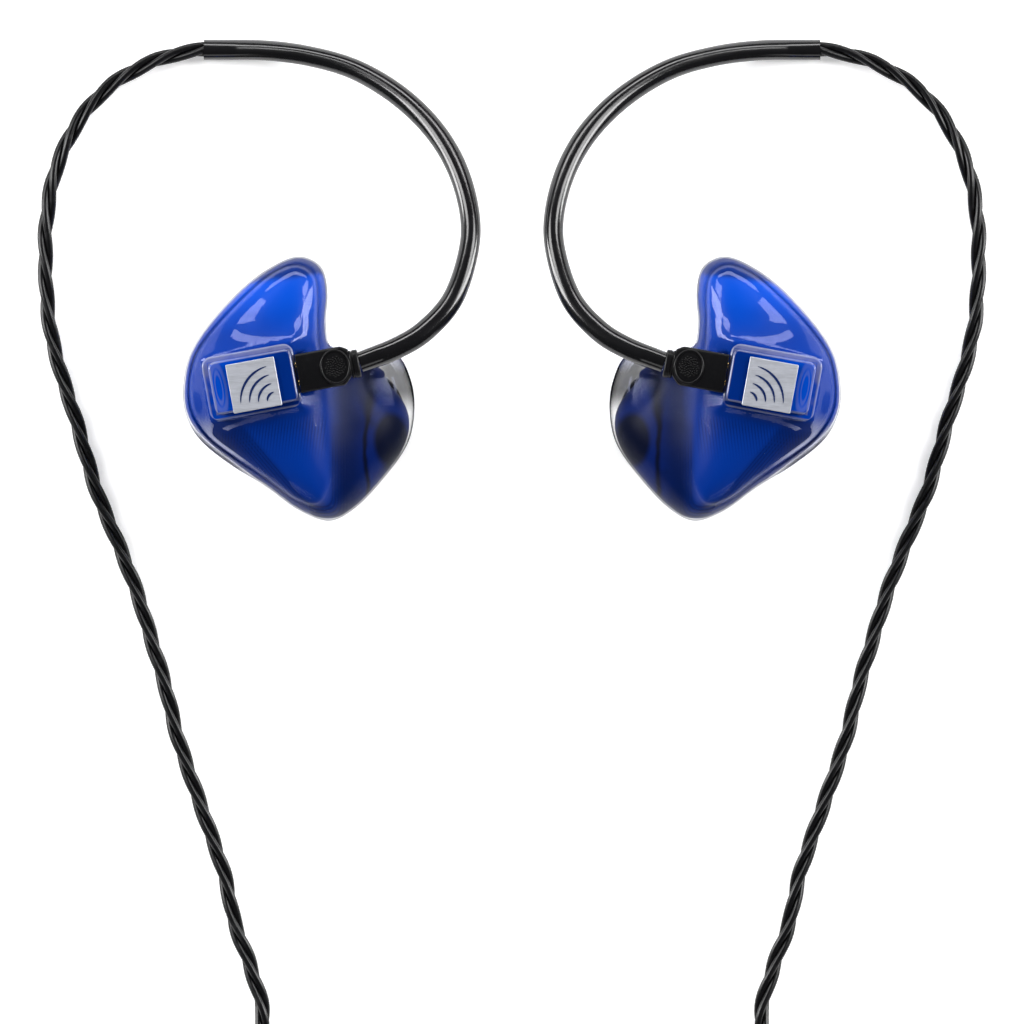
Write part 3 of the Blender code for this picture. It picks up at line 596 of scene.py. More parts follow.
def blue_resin(colours):
    """The core. Its face is bright above the boss, painted light standing in for light passing
    through the resin, and deeper below it as painted shade, with a navy cap on the upper lobe, a
    plane window low down, fine upright lines under the boss and rings about the window from
    printed layers. Inboard it darkens to the canal as painted shade, and the canal has a dark
    seam and a dark oval patch."""
    f = Finish("blue_resin", ior=1.16)
    x, y, z = f.in_mm()
    cloud = f.noise(120.0, 3.0)
    # Painted light and shade: the bright blue above the boss stands in for light passing through
    # the resin, and the deep blue below it is painted shade.
    upper = f.step(y - x * 0.25 + cloud * 4.0, -14.5, -6.5)
    face = f.mix(colours["deep"], colours["bright"], upper)
    cap = f.step(y + 0.12 * x + cloud * 1.2, 3.6, 4.5)
    face = f.mix(face, tuple(0.35 * c for c in colours["deep"]), cap * 0.85)
    (far_x, far_y), (lean_x, lean_y) = WINDOW_FAR
    far = (x - far_x) * lean_x + (y - far_y) * lean_y
    window = (x - WINDOW_LEFT).math("SMOOTH_MIN", far, 2.5)
    window = window.math("SMOOTH_MIN", y - WINDOW_FOOT, 2.5)
    low = 1 - f.step(y, -19.0, -16.5)
    face = f.mix(face, tuple(0.62 * c for c in colours["deep"]),
                 (1 - f.step(window, -0.5, 0.4)) * low * 0.9)
    rings = (window * (2 * pi / RING_PITCH)).wave() * f.step(window, -2.4, -1.8)
    rings = rings * (1 - f.step(window, -0.2, 0.1)) * (1 - f.step(y, -22.0, -18.5))
    lines = ((x + 0.12 * y) * (2 * pi / LINE_PITCH)).wave() * f.step(y, -23.5, -18.0)
    lines = lines * (1 - f.step(y + 0.18 * x, -13.6, -11.8)) * f.step(x, 22.6, 23.6)
    fine = rings + lines
    face = f.mix(face, tuple(0.2 * c for c in colours["deep"]), fine.held() * 0.55)
    # Painted shade: the canal's navy and canal blues are painted shade, and the patches between
    # them vary at random.
    patches = f.step(f.noise(190.0, 3.0) + z * 0.02, 0.42, 0.75)
    inboard = f.mix(colours["navy"], colours["canal"], patches)
    dark = 1 - f.step(f.oval(x, y, *CANAL_OVAL), 0.75, 1.1)
    inboard = f.mix(inboard, tuple(0.5 * c for c in colours["navy"]), dark * 0.9)
    seam = (x - 18.1 + (cloud - 0.5) * 2.0).size() / (1 + f.step(y, -19.0, -12.0) * 3.0)
    seam = 1 - f.step(seam, 0.05, 0.5)
    inboard = f.mix(inboard, (0.0003, 0.0006, 0.003), seam * 0.9)
    # Painted shade: the face darkens inboard towards the canal.
    middle = f.mix(tuple(0.26 * c for c in colours["deep"]), face, f.step(x + cloud, 21.2, 23.6))
    colour = f.mix(inboard, middle, f.step(x + (cloud - 0.5) * 2.4, 17.6, 20.2))
    f.set(base_color=colour, roughness=0.3 + 0.14 * cloud)
    return f.bump(fine + cloud * 0.5, 0.01, 0.5).material


def boss_resin(colours):
    """The boss: blue inside, brighter towards its outer end as painted light and deeper towards
    the plug as painted shade, with painted highlights as paler lines along the edges of frame
    and pad, a greyer band of painted sheen between them, and two nested ovals of painted
    reflection at its outer end."""
    f = Finish("boss_resin", ior=1.42)
    x, y, _ = f.in_mm()
    x, y = x - BOSS_CENTRE[0], y - BOSS_CENTRE[1]
    u = x * float(ALONG[0]) + y * float(ALONG[1])
    v = x * float(ACROSS[0]) + y * float(ACROSS[1])
    cloud = f.noise(240.0, 3.0)
    # Painted light and shade: the blue brightens towards the boss's outer end and deepens towards
    # the plug.
    blue = f.mix(tuple(0.6 * c for c in colours["deep"]), colours["bright"],
                 f.step(u + cloud * 3.0, -3.0, 6.5) * 0.75)
    rims = []
    for (u0, u1), (_, v1), _ in (BOSS_FRAME, BOSS_PAD):
        rims.append(((u - (u0 + u1) / 2).size() - (u1 - u0) / 2)
                    .math("MAXIMUM", v.size() - v1))
    # Painted sheen: a greyer sheen in the band between pad and frame, broken up by noise.
    sheen_band = f.step(rims[1], -0.05, 0.1)
    blue_with_painted_sheen = f.mix(blue, (0.13, 0.14, 0.25), sheen_band * f.step(cloud + 0.05 * v, 0.4, 0.7) * 0.7)
    # Painted highlights: paler lines along the edges of frame and pad, and two nested ovals of
    # painted reflection at the outer end.
    marks = [1 - f.step((rim + 0.16).size(), 0.03, 0.2) for rim in rims]
    marks += [(1 - f.step((f.oval(u, v, 4.25, 0.0, wide, high) - 1).size(), 0.05, 0.3)) * 0.4
              for wide, high in ((0.85, 2.9), (0.42, 1.9))]
    lit = sum(marks[1:], marks[0]).held()
    f.set(base_color=f.mix(blue_with_painted_sheen, (0.14, 0.15, 0.23), lit * (0.1 + 0.9 * cloud)),
          roughness=0.08 + 0.1 * cloud)
    return f.bump(cloud + lit * 0.4, 0.02, 0.4).material


def brushed_metal(colour):
    """Bright metal with fine brushing along the tile and a slight satin sheen."""
    f = Finish("brushed_metal", metallic=0.6)
    along = f.stretched(900, 14000, 900, PLUG_TILT)
    lines = f.noise(1.0, 4.0, 0.7, along)
    wide = f.noise(1.0, 2.0, 0.5, f.stretched(120, 1500, 120, PLUG_TILT))
    tone = lines * 0.6 + wide * 0.4
    f.set(base_color=f.mix(tuple(0.72 * c for c in colour), colour, f.step(tone, 0.3, 0.7)),
          roughness=0.30 + 0.22 * lines)
    return f.bump(lines, 0.004, 0.6).material


def satin_plastic(name, colour, roughness, grain, depth_mm):
    """Moulded plastic with a spark-eroded grain and slightly worn high spots."""
    f = Finish(name, ior=1.28)
    coarse, fine = f.noise(grain, 3.0), f.noise(grain * 5.5, 2.0)
    worn = tuple(min(1.0, 1.6 * c + 0.002) for c in colour)
    f.set(base_color=f.mix(colour, worn, f.step(coarse, 0.55, 0.8) * 0.5),
          roughness=roughness - 0.08 + 0.16 * fine)
    return f.bump(fine * 0.6 + coarse * 0.4, depth_mm, 0.6).material


def bare_metal(name, colour, roughness, scratches=2600.0):
    """Plated or drawn metal with hair scratches and small changes of tone."""
    f = Finish(name, metallic=1.0)
    hair = f.noise(1.0, 3.0, 0.6, f.stretched(scratches * 0.08, scratches, scratches))
    tone = f.noise(300.0, 3.0)
    f.set(base_color=f.mix(colour, tuple(0.75 * c for c in colour), f.step(tone, 0.4, 0.75) * 0.6),
          roughness=roughness + 0.12 * hair)
    return f.bump(hair, 0.002, 0.5).material


def smoky_tube(colour):
    """Black shrink tube: glossy, with shallow long ridges, and seen through at its cut end."""
    f = Finish("smoky_shrink_tube", ior=1.5)
    along, turn, _ = f.flow()
    cloud = f.noise(1.0, 3.0, 0.5, f.stretched(60, 500, 500))
    ridges = ((turn * (6 * pi)) + along * 0.35).wave()
    shadow = f.node("ShaderNodeLightPath", "Is Shadow Ray")
    f.set(base_color=f.mix(colour, tuple(1.8 * c + 0.001 for c in colour), cloud * 0.5),
          roughness=0.1 + 0.12 * cloud)
    f.bump(ridges * 0.5 + cloud, 0.03, 0.5)
    clear = f.step(along, 88.0, 91.2) * 0.5 + f.step(f.noise(400.0, 2.0), 0.5, 0.75) * 0.06
    return f.seen_through((clear + shadow * 0.1).held(), (0.8, 0.8, 0.82)).material


def cable_jacket(colour):
    """Glossy black jacket with faint drawing lines along each strand."""
    f = Finish("cable_jacket", ior=1.32)
    along, turn, strand = f.flow()
    drawn = f.noise(1.0, 3.0, 0.6, f.node("ShaderNodeCombineXYZ", 0, None, x=along * 0.35,
                                           y=turn * 26.0, z=strand * 7.0))
    scuffs = f.step(f.noise(420.0, 4.0), 0.56, 0.72)
    f.set(base_color=f.mix(colour, tuple(2 * c + 0.004 for c in colour), scuffs * 0.5),
          roughness=0.2 + 0.16 * drawn + 0.12 * scuffs)
    return f.bump(drawn + scuffs * 0.3, 0.012, 0.5).material


def woven_tie(colour):
    """Hook-and-loop strap: a twill of two crossing waves with a fuzz over it."""
    f = Finish("tie_fabric", roughness=0.85, sheen_weight=0.3, sheen_roughness=0.4)
    along, turn, _ = f.flow()
    across = (along * (2 * pi / 0.42)).wave()
    down = (turn * 420.0).wave()
    fuzz = f.noise(5200.0, 2.0)
    weave = (across * down) * 0.5 + 0.5
    f.set(base_color=f.mix(colour, tuple(2.6 * c + 0.01 for c in colour), weave * 0.6 + fuzz * 0.3))
    return f.bump(weave + fuzz * 0.5, 0.06, 0.7).material


def see_through_vinyl():
    """Clear sound tube with a bluish body and drawing marks."""
    f = Finish("clear_vinyl", base_color=(0.66, 0.74, 0.82), ior=1.45, coat_weight=0.6)
    marks = f.noise(1.0, 3.0, 0.5, f.stretched(400, 2200, 2200))
    f.set(roughness=0.1 + 0.15 * marks)
    f.bump(marks, 0.01, 0.5)
    return f.seen_through(0.42 + 0.18 * marks).material


def circuit_board():
    """Green board with paler tracks on a square grid and small gold pads."""
    f = Finish("circuit_board", roughness=0.4, coat_weight=0.4)
    x, y, _ = f.split(f.place())
    grid = (x * (2 * pi / 0.0011)).wave() * (y * (2 * pi / 0.0013)).wave()
    tracks = f.step(grid.size(), 0.0, 0.12)
    pads = f.step((x * 5700.0).wave() * (y * 4800.0).wave(), 0.86, 0.94)
    green = f.mix((0.05, 0.24, 0.09), (0.015, 0.10, 0.035), tracks)
    f.set(base_color=f.mix(green, (0.75, 0.52, 0.2), pads), roughness=0.3 + 0.2 * f.noise(900.0))
    return f.bump(1 - tracks, 0.02, 0.6).material


def pale_floor(colour):
    """Matt paper floor with the faintest mottling. A glow of its own makes it read white."""
    f = Finish("studio_paper", roughness=0.9, specular_ior_level=0.0, emission_strength=0.42,
               emission_color=(1.0, 1.0, 1.0))
    mottle = f.noise(35.0, 4.0)
    f.set(base_color=f.mix(tuple(0.985 * c for c in colour), colour, mottle))
    return f.bump(f.noise(1800.0, 2.0), 0.01, 0.15).material


# ---------------------------------------------------------------- settings

def length(name, description, default):
    return FloatProperty(name=name, description=description, default=default, unit="LENGTH",
                         precision=5)


def colour(name, description, default):
    return FloatVectorProperty(name=name, description=description, default=default,
                               subtype="COLOR", size=3, min=0.0, max=1.0)


class ShellSettings(bpy.types.PropertyGroup):
    """Sizes and colours of the two shells."""

    clear_depth: length("Clear layer", "Depth of the clear resin round the blue core", 0.00012)
    top_depth: length("Clear top", "Depth of the clear resin over the faceplate", 0.0009)
    # Painted light and shade: the bright blue stands in for light passing through the resin, and
    # the deep, canal and navy blues are painted shade.
    bright: colour("Bright blue", "Core above the boss", (0.0006, 0.046, 0.37))
    deep: colour("Deep blue", "Core below the boss", (0.0003, 0.022, 0.195))
    canal: colour("Canal blue", "Lighter parts of the canal", (0.0008, 0.009, 0.085))
    navy: colour("Navy", "Darker parts of the canal", (0.0010, 0.003, 0.014))


class TrimSettings(bpy.types.PropertyGroup):
    """Colours of the tile, plugs, jack and inner parts."""

    tile: colour("Tile", "Brushed metal of the tile", (0.52, 0.54, 0.60))
    mark: colour("Mark", "Enamel in the tile's mark", (0.006, 0.014, 0.06))
    nylon: colour("Nylon", "Plugs and jack housing", (0.0025, 0.0025, 0.003))
    gold: colour("Gold", "Pins and contacts", (0.86, 0.60, 0.24))
    mark_width: length("Mark width", "Width of the mark's lines", 0.00030)


class CordSettings(bpy.types.PropertyGroup):
    """Sizes and colours of the cable and ear hooks."""

    strand: length("Strand", "Radius of one insulated strand", 0.000475)
    lay: length("Lay", "Length of one full twist of a branch", 0.0162)
    jacket: colour("Jacket", "Colour of the strands", (0.0035, 0.0035, 0.004))
    smoke: colour("Ear hook", "Colour of the shrink tube", (0.0035, 0.0035, 0.004))


class StageSettings(bpy.types.PropertyGroup):
    """Floor, light and camera."""

    paper: colour("Floor", "Colour of the floor", (0.86, 0.86, 0.86))
    key: FloatProperty(name="Side lights", description="Power of each side softbox", default=8.0,
                       unit="POWER")
    back: FloatProperty(name="Back light", description="Power of the long back strip",
                        default=5.2, unit="POWER")
    lens: FloatProperty(name="Lens", description="Focal length", default=600.0, unit="CAMERA")
    distance: length("Camera height", "Height of the camera over the floor", 2.1333)


# ---------------------------------------------------------------- stage

def look_at(made, place, target):
    """Puts an object at a place, with its -Z axis towards the target."""
    made.location = place
    made.rotation_euler = (Vector(target) - Vector(place)).to_track_quat("-Z", "Y").to_euler()


def add_lamp(name, place, size, power, target=(0, -0.02, 0)):
    lamp = bpy.data.lights.new(name, "AREA")
    lamp.shape = "RECTANGLE"
    lamp.size, lamp.size_y = size
    lamp.energy = power
    made = bpy.data.objects.new(name, lamp)
    bpy.context.scene.collection.objects.link(made)
    look_at(made, place, target)


def sky():
    """World light: faint, and fainter straight up than at the horizon."""
    world = bpy.data.worlds.new("studio")
    world.use_nodes = True
    tree = world.node_tree
    coordinates = tree.nodes.new("ShaderNodeTexCoord")
    parts = tree.nodes.new("ShaderNodeSeparateXYZ")
    tree.links.new(coordinates.outputs["Generated"], parts.inputs[0])
    height = Value(tree, parts.outputs[2])
    background = tree.nodes["Background"]
    ramp = tree.nodes.new("ShaderNodeMapRange")
    ramp.interpolation_type = "SMOOTHSTEP"
    for slot, value in zip(ramp.inputs, (height, 0.1, 0.9, 0.06, 0.015)):
        put(tree, slot, value)
    tree.links.new(ramp.outputs[0], background.inputs["Strength"])
    background.inputs["Color"].default_value = (0.97, 0.98, 1.0, 1.0)
    bpy.context.scene.world = world


class EARPHONES_OT_stage(bpy.types.Operator):
    """Add the camera, the softboxes, the sky and the pale floor"""

    bl_idname = "earphones.stage"
    bl_label = "Stage"

    def execute(self, context):
        chosen = context.scene.earphones_stage
        data = bpy.data.cameras.new("camera")
        data.lens = chosen.lens
        data.sensor_width = 36.0
        data.clip_end = 30.0
        camera = bpy.data.objects.new("camera", data)
        camera.location = (0, -0.02894, chosen.distance)
        context.scene.collection.objects.link(camera)
        context.scene.camera = camera
        context.scene.view_settings.view_transform = "Standard"
        for name, side in SIDES.items():
            add_lamp(f"{name}_softbox", (side * 0.72, 0.12, 0.30), (0.2, 0.7), chosen.key)
            add_lamp(f"{name}_upper_softbox", (side * 0.56, 0.40, 0.56), (0.34, 0.34),
                     chosen.key * 0.5)
        add_lamp("back_strip", (0, 0.72, 0.42), (1.1, 0.14), chosen.back)
        add_lamp("front_fill", (0, -0.85, 0.55), (0.9, 0.3), chosen.back * 0.25)
        sky()
        side = np.linspace(-4, 4, 3)
        x, y = np.meshgrid(side, side)
        mesh = bpy.data.meshes.new("floor")
        mesh.from_pydata(np.column_stack([x.ravel(), y.ravel(), np.full(9, -0.00002)]), [],
                         [(0, 1, 4, 3), (1, 2, 5, 4), (3, 4, 7, 6), (4, 5, 8, 7)])
        mesh.materials.append(pale_floor(tuple(chosen.paper)))
        floor = bpy.data.objects.new("floor", mesh)
        context.scene.collection.objects.link(floor)
        return {"FINISHED"}


# ---------------------------------------------------------------- cable

def hook_path(count=240):
    """The hook's centre line. It leaves the plug level, and comes down to the table as
    0.35(3t^2 - 2t^3) + 0.65t of the drop, where t is the share of its length."""
    flat = smooth_route(HOOK_ROUTE, count=count)
    t = np.clip((np.linspace(0, 1, count) - 0.04) / 0.9, 0, 1)
    eased = t * t * (3 - 2 * t) * 0.35 + t * 0.65
    return np.column_stack([flat, PLUG_HEIGHT + (HOOK_RADIUS + 0.04 - PLUG_HEIGHT) * eased])


def branch_path():
    """A branch's centre line: on the table, a little higher at the hook and at the split."""
    flat = smooth_route(BRANCH_ROUTE, step=0.55)
    from_hook = np.clip(1 - (flat[:, 0] - 38.8) / 10, 0, 1) * (flat[:, 1] > 20)
    to_split = smooth_step(RISE_START - flat[:, 1], 0, RISE_LENGTH)
    return np.column_stack([flat, 1.03 + 0.3 * from_hook + (RAISED - 1.03) * to_split])


def coil_path():
    """The wound part: radius and height read off against the turns wound, then evened out,
    at an angle of a quarter turn plus the turns."""
    turns = np.linspace(0, COIL_STEPS[-1][0], 1500)
    at, radius, height = np.array(COIL_STEPS).T
    radius = softened(np.interp(turns, at, radius), 9)
    height = softened(np.interp(turns, at, height), 9)
    angle = pi / 2 + 2 * pi * turns
    return np.column_stack([COIL_CENTRE[0] + radius * np.cos(angle),
                            COIL_CENTRE[1] + radius * np.sin(angle), height])


def main_path():
    """Lead, coil and tail as one line, evenly spaced."""
    lead = smooth_route(LEAD_ROUTE, step=1.0)
    tail = smooth_route(TAIL_ROUTE, step=1.0)
    return even(softened(even(np.vstack([lead, coil_path()[2:-2], tail]), step=0.5), 3), step=0.95)


def sections(stations, per_corner=6):
    """Rings of a lying piece: at each y a rounded box of that width, from low to high."""
    rings = []
    for y, width, low, high, corner in stations:
        flat = rounded_box((width / 2, (high - low) / 2), corner, per_corner)
        rings.append(np.column_stack([flat[:, 0], np.full(len(flat), y),
                                      flat[:, 1] + (low + high) / 2]))
    return np.array(rings)


class EARPHONES_OT_split(bpy.types.Operator):
    """Add the split where the branches meet, and the slider above it"""

    bl_idname = "earphones.split"
    bl_label = "Split and slider"

    def execute(self, context):
        rubber = satin_plastic("split_rubber", (0.006, 0.006, 0.0065), 0.5, 700.0, 0.03)
        top, bottom = SPLIT_ENDS
        wide, narrow = SPLIT_WIDTHS
        y = np.linspace(top, bottom, 90)
        share = smooth_step(-y, -top + 4.5, -bottom - 0.5)
        ends = rolled(np.minimum(top - y, y - bottom), 0.6, 0.5)
        groove = 0.12 * (np.abs(y - top + 2.4) < 0.35) + 0.12 * (np.abs(y - bottom - 2.2) < 0.3)
        inset = ends + groove
        width = wide + (narrow - wide) * share - 2 * inset
        high = 4.8 - 0.3 * share - inset
        shape("split_sleeve", sections(zip(y, width, 0.02 + inset, high, np.full(90, 1.15) - ends)),
              rubber, "cable_set", replaces=["y_split"])
        wide, long, thick = SLIDER_SIZE
        y = np.linspace(-long / 2, long / 2, 80)
        ends = rolled(long / 2 - np.abs(y), 0.5, 0.4)
        ribs = 0.09 * (np.cos(y * 2 * pi / 1.1) < 0) * (np.abs(y) < 2.4)
        inset = ends + ribs
        body = sections(zip(y + SLIDER_MIDDLE, wide - 2 * inset, 0.02 + inset, thick - inset,
                            np.full(80, 1.6) - ends))
        slider = shape("slider_bead", body, rubber, "cable_slider", replaces=["slider"])
        for across in (-BRANCH_GAP, BRANCH_GAP):
            start = (across, SLIDER_MIDDLE - long / 2 - 1, RAISED)
            bored(slider, lathe(start, (0, 1, 0), ((0, SLIDER_BORE), (long + 2, SLIDER_BORE)), 32),
                  "cable_slider")
        return {"FINISHED"}


def bored(made, hole, body):
    """Cuts a hole, given as the rings of its round, through a piece's mesh."""
    cutter = shape("bore", hole, made.data.materials[0], body)
    cut = made.modifiers.new("bore", "BOOLEAN")
    cut.operation, cut.solver, cut.object = "DIFFERENCE", "EXACT", cutter
    graph = bpy.context.evaluated_depsgraph_get()
    mesh = bpy.data.meshes.new_from_object(made.evaluated_get(graph))
    made.modifiers.clear()
    made.data = mesh
    bpy.data.objects.remove(cutter)


class EARPHONES_OT_jack(bpy.types.Operator):
    """Add the 3.5 mm jack with its strain relief, and the tie round the coil"""

    bl_idname = "earphones.jack"
    bl_label = "Jack and tie"

    def execute(self, context):
        trim = context.scene.earphones_trim
        nylon = satin_plastic("jack_nylon", tuple(trim.nylon), 0.35, 900.0, 0.015)
        gold = bare_metal("gold_plate", tuple(trim.gold), 0.16)
        dark = satin_plastic("insulator", (0.012, 0.012, 0.012), 0.42, 1200.0, 0.01)
        run = np.linspace(0, 10, 120)
        ribs = 0.16 * (np.sin(run * 2 * pi / 1.25) > 0) * (run > 1.2) * (run < 8.9)
        relief = np.column_stack([run, 1.5 + 0.9 * smooth_step(run, 0.1, 9.4) - ribs
                                  - 0.3 * smooth_step(-run, -0.3, 0)])
        grip = np.linspace(0, 15, 150)
        body = 3.35 - rolled(np.minimum(grip, 15 - grip), 0.9, 0.6)
        angles = np.arange(96) * 2 * pi / 96
        knurl = -0.10 * (np.abs(np.sin(12 * angles + grip[:, None] * 0.9))
                         * np.abs(np.sin(12 * angles - grip[:, None] * 0.9)))
        knurl = knurl * (smooth_step(grip, 2.4, 3.0) * (1 - smooth_step(grip, 11.6, 12.2)))[:, None]
        pieces = (
            ("strain_relief", "jack_strain_relief", 0.0, relief, nylon, 0.0, 48, "black_nylon"),
            ("housing", "jack_housing", 10.1, np.column_stack([grip, body]), nylon, knurl, 96,
             "black_nylon"),
            ("sleeve", "jack_sleeve", 25.15,
             ((0, 2.3), (0.5, 2.3), (0.55, 1.75), (0.7, 1.75), (7.3, 1.75), (7.5, 1.75),
              (7.6, 1.68)), gold, 0.0, 64, "gold_plate"),
            ("lower_insulator", "jack_lower_insulator", 32.8, ((0, 1.7), (0.3, 1.71), (0.6, 1.7)),
             dark, 0.0, 64, "insulator"),
            ("ring", "jack_ring", 33.45,
             ((0, 1.68), (0.1, 1.75), (0.2, 1.75), (1.8, 1.75), (1.9, 1.75), (2.0, 1.68)), gold,
             0.0, 64, "gold_plate"),
            ("upper_insulator", "jack_upper_insulator", 35.5, ((0, 1.7), (0.3, 1.71), (0.6, 1.7)),
             dark, 0.0, 64, "insulator"),
            ("tip", "jack_tip", 36.15,
             smooth_route(((0, 1.70), (0.45, 1.75), (0.85, 1.5), (1.15, 1.22), (1.5, 1.3),
                           (2.0, 1.58), (2.5, 1.45), (2.95, 1.0), (3.2, 0.35)), count=60), gold,
             0.0, 64, "gold_plate"),
        )
        for name, node, start, profile, finish, relief, sides, slot in pieces:
            shape(f"plug_{name}", lathe(np.array(JACK_START) + [start, 0, 0], (1, 0, 0), profile,
                                        sides, relief),
                  finish, "cable_set", replaces=[node])
        self.add_tie()
        return {"FINISHED"}

    def add_tie(self):
        """The strap: a rounded box loop round the coil's section, 4 mm wide, its outer face
        crowned by 0.05 mm and its two edges rolled."""
        middle, half = (12.55, 5.32), (3.95, 4.72)
        y = np.linspace(-2, 2, 21)
        crown = 0.4 + 0.05 * (1 - (y / 2)**2) - 0.12 * smooth_step(np.abs(y), 1.75, 2.0)
        rings = []
        for reach, row in [(r, s) for r, s in zip(crown, y)] + [(0.0, s) for s in y[::-1]]:
            flat = rounded_box((half[0] + reach, half[1] + reach), 0.7 + reach, 12)
            rings.append(np.column_stack([COIL_CENTRE[0] + middle[0] + flat[:, 0],
                                          np.full(len(flat), COIL_CENTRE[1] + row),
                                          np.maximum(middle[1] + flat[:, 1], 0.03)]))
        shape("coil_strap", rings, woven_tie((0.02, 0.02, 0.022)), "cable_set", looped=True,
              flow=np.concatenate([y, y[::-1]]), replaces=["coil_tie"])


class EARPHONES_OT_cords(bpy.types.Operator):
    """Add the two branches and the wound main cable, all of twisted strands"""

    bl_idname = "earphones.cords"
    bl_label = "Cables"

    def execute(self, context):
        chosen = context.scene.earphones_cords
        jacket = cable_jacket(tuple(chosen.jacket))
        strand, lay = chosen.strand / MM, chosen.lay / MM
        for name, side in SIDES.items():
            path = branch_path()
            grids, gone = twisted(path, 3, strand, strand * 1.155, -lay, 10, 0.6)
            made = shape(f"{name}_branch", grids, jacket, "cable_set", side, flow=gone,
                         replaces=[f"{name}_cable"])
        path = main_path()
        grids, gone = twisted(path, 4, strand, strand * 1.415, 18.0, 10)
        made = shape("main_cable", grids, jacket, "cable_set", flow=gone,
                     replaces=["main_cable_lead", "main_cable_coil", "main_cable_tail"])
        return {"FINISHED"}


class EARPHONES_OT_hooks(bpy.types.Operator):
    """Add the ear hooks: shrink tube, memory wire and the strands inside"""

    bl_idname = "earphones.hooks"
    bl_label = "Ear hooks"

    def execute(self, context):
        chosen = context.scene.earphones_cords
        smoke = smoky_tube(tuple(chosen.smoke))
        jacket = bpy.data.materials["cable_jacket"]
        steel = bare_metal("spring_steel", (0.42, 0.42, 0.44), 0.28)
        path = hook_path()
        gone = np.concatenate([[0], np.linalg.norm(np.diff(path, axis=0), axis=1).cumsum()])
        level, _ = frames(path)
        angles = (np.arange(28) + 0.5) * 2 * pi / 28
        lobes = 1 + 0.035 * np.sin(2 * angles[None] + gone[:, None] * 2 * pi / 33)
        lobes = lobes * (1 - 0.05 * smooth_step(gone, gone[-1] - 12, gone[-1]))[:, None]
        outside = tube(path, HOOK_RADIUS * 1.02 * lobes, 28)
        inside = tube(path, np.full(len(path), HOOK_BORE), 28)[::-1]
        for name, side in SIDES.items():
            shape(f"{name}_ear_hook", np.vstack([outside, inside]), smoke, "cable_set", side,
                  looped=True, flow=np.concatenate([gone, gone[::-1]]),
                  replaces=[f"{name}_hook_tube"])
            wire = tube(path + 0.68 * level, np.full(len(path), 0.3), 12)
            shape(f"{name}_hook_wire", wire[:-14], steel, "cable_set", side, flow=gone[:-14],
                  replaces=[f"{name}_memory_wire"])
            inner = path[:-14] - 0.42 * level[:-14]
            grids, run = twisted(inner, 3, 0.25, 0.29, -9.0, 8)
            shape(f"{name}_hook_core", grids, jacket, "cable_set", side, flow=run,
                  replaces=[f"{name}_hook_strands"])
        return {"FINISHED"}


# ---------------------------------------------------------------- earpieces

def core_colours(chosen):
    return {name: tuple(getattr(chosen, name)) for name in ("bright", "deep", "canal", "navy")}


class EARPHONES_OT_shells(bpy.types.Operator):
    """Add the clear shells, their blue cores and the bored canal tips"""

    bl_idname = "earphones.shells"
    bl_label = "Shells"

    def execute(self, context):
        chosen = context.scene.earphones_shell
        lacquer = clear_lacquer()
        resin = blue_resin(core_colours(chosen))
        skin = shell_grid()
        core = shell_grid(inset=chosen.clear_depth / MM, lowered=chosen.top_depth / MM, seat=17.6)
        for name, side in SIDES.items():
            body = f"{name}_earpiece"
            shape(f"{name}_shell_skin", skin, lacquer, body, side, replaces=[f"{name}_shell"])
            shape(f"{name}_shell_core", core, resin, body, side)
            self.add_tip(name, side, body, resin)
        return {"FINISHED"}

    def add_tip(self, name, side, body, resin):
        """The canal tip's face: a leaning oval plate, with two sound bores cut through it.
        It is cut on the left side, and mirrored whole for the right."""
        lean = np.array([sin(TIP_LEAN), 0, cos(TIP_LEAN)])
        run = np.array([cos(TIP_LEAN), 0, -sin(TIP_LEAN)])
        angles = np.arange(72) * 2 * pi / 72
        rings = []
        for inset, up in ((1.2, 2.6), (0.35, 0.4), (0.2, 0.08), (0.45, -0.06), (0.8, -0.1)):
            a, b = TIP_RADII[0] / cos(TIP_LEAN) - inset, TIP_RADII[1] - inset
            rings.append(np.array(TIP_CENTRE) + up * lean
                         + (a * np.cos(angles))[:, None] * run
                         + (b * np.sin(angles))[:, None] * np.array([0, 1.0, 0]))
        made = shape(f"{name}_canal_face", rings, resin, body)
        for across in (-BORE_SPREAD, BORE_SPREAD):
            start = np.array(TIP_CENTRE) + [0, across, 0] - lean
            bored(made, lathe(start, lean, ((0, BORE_RADIUS), (2.6, BORE_RADIUS)), 40), body)
        if side < 0:
            made.data.transform(Matrix.Scale(-1, 4, (1, 0, 0)))
            made.data.flip_normals()


class EARPHONES_OT_bosses(bpy.types.Operator):
    """Add each faceplate's boss: an outer frame and the pad on it"""

    bl_idname = "earphones.bosses"
    bl_label = "Bosses"

    def execute(self, context):
        resin = boss_resin(core_colours(context.scene.earphones_shell))
        for name, side in SIDES.items():
            lower = slab(*BOSS_FRAME, rolled_edge(*FRAME_EDGE, 8))
            shape(f"{name}_boss_frame", lower, resin, f"{name}_earpiece", side,
                  replaces=[f"{name}_faceplate"])
            upper = slab(*BOSS_PAD, rolled_edge(*PAD_EDGE, 8))
            shape(f"{name}_boss_pad", upper, resin, f"{name}_earpiece", side)
        return {"FINISHED"}


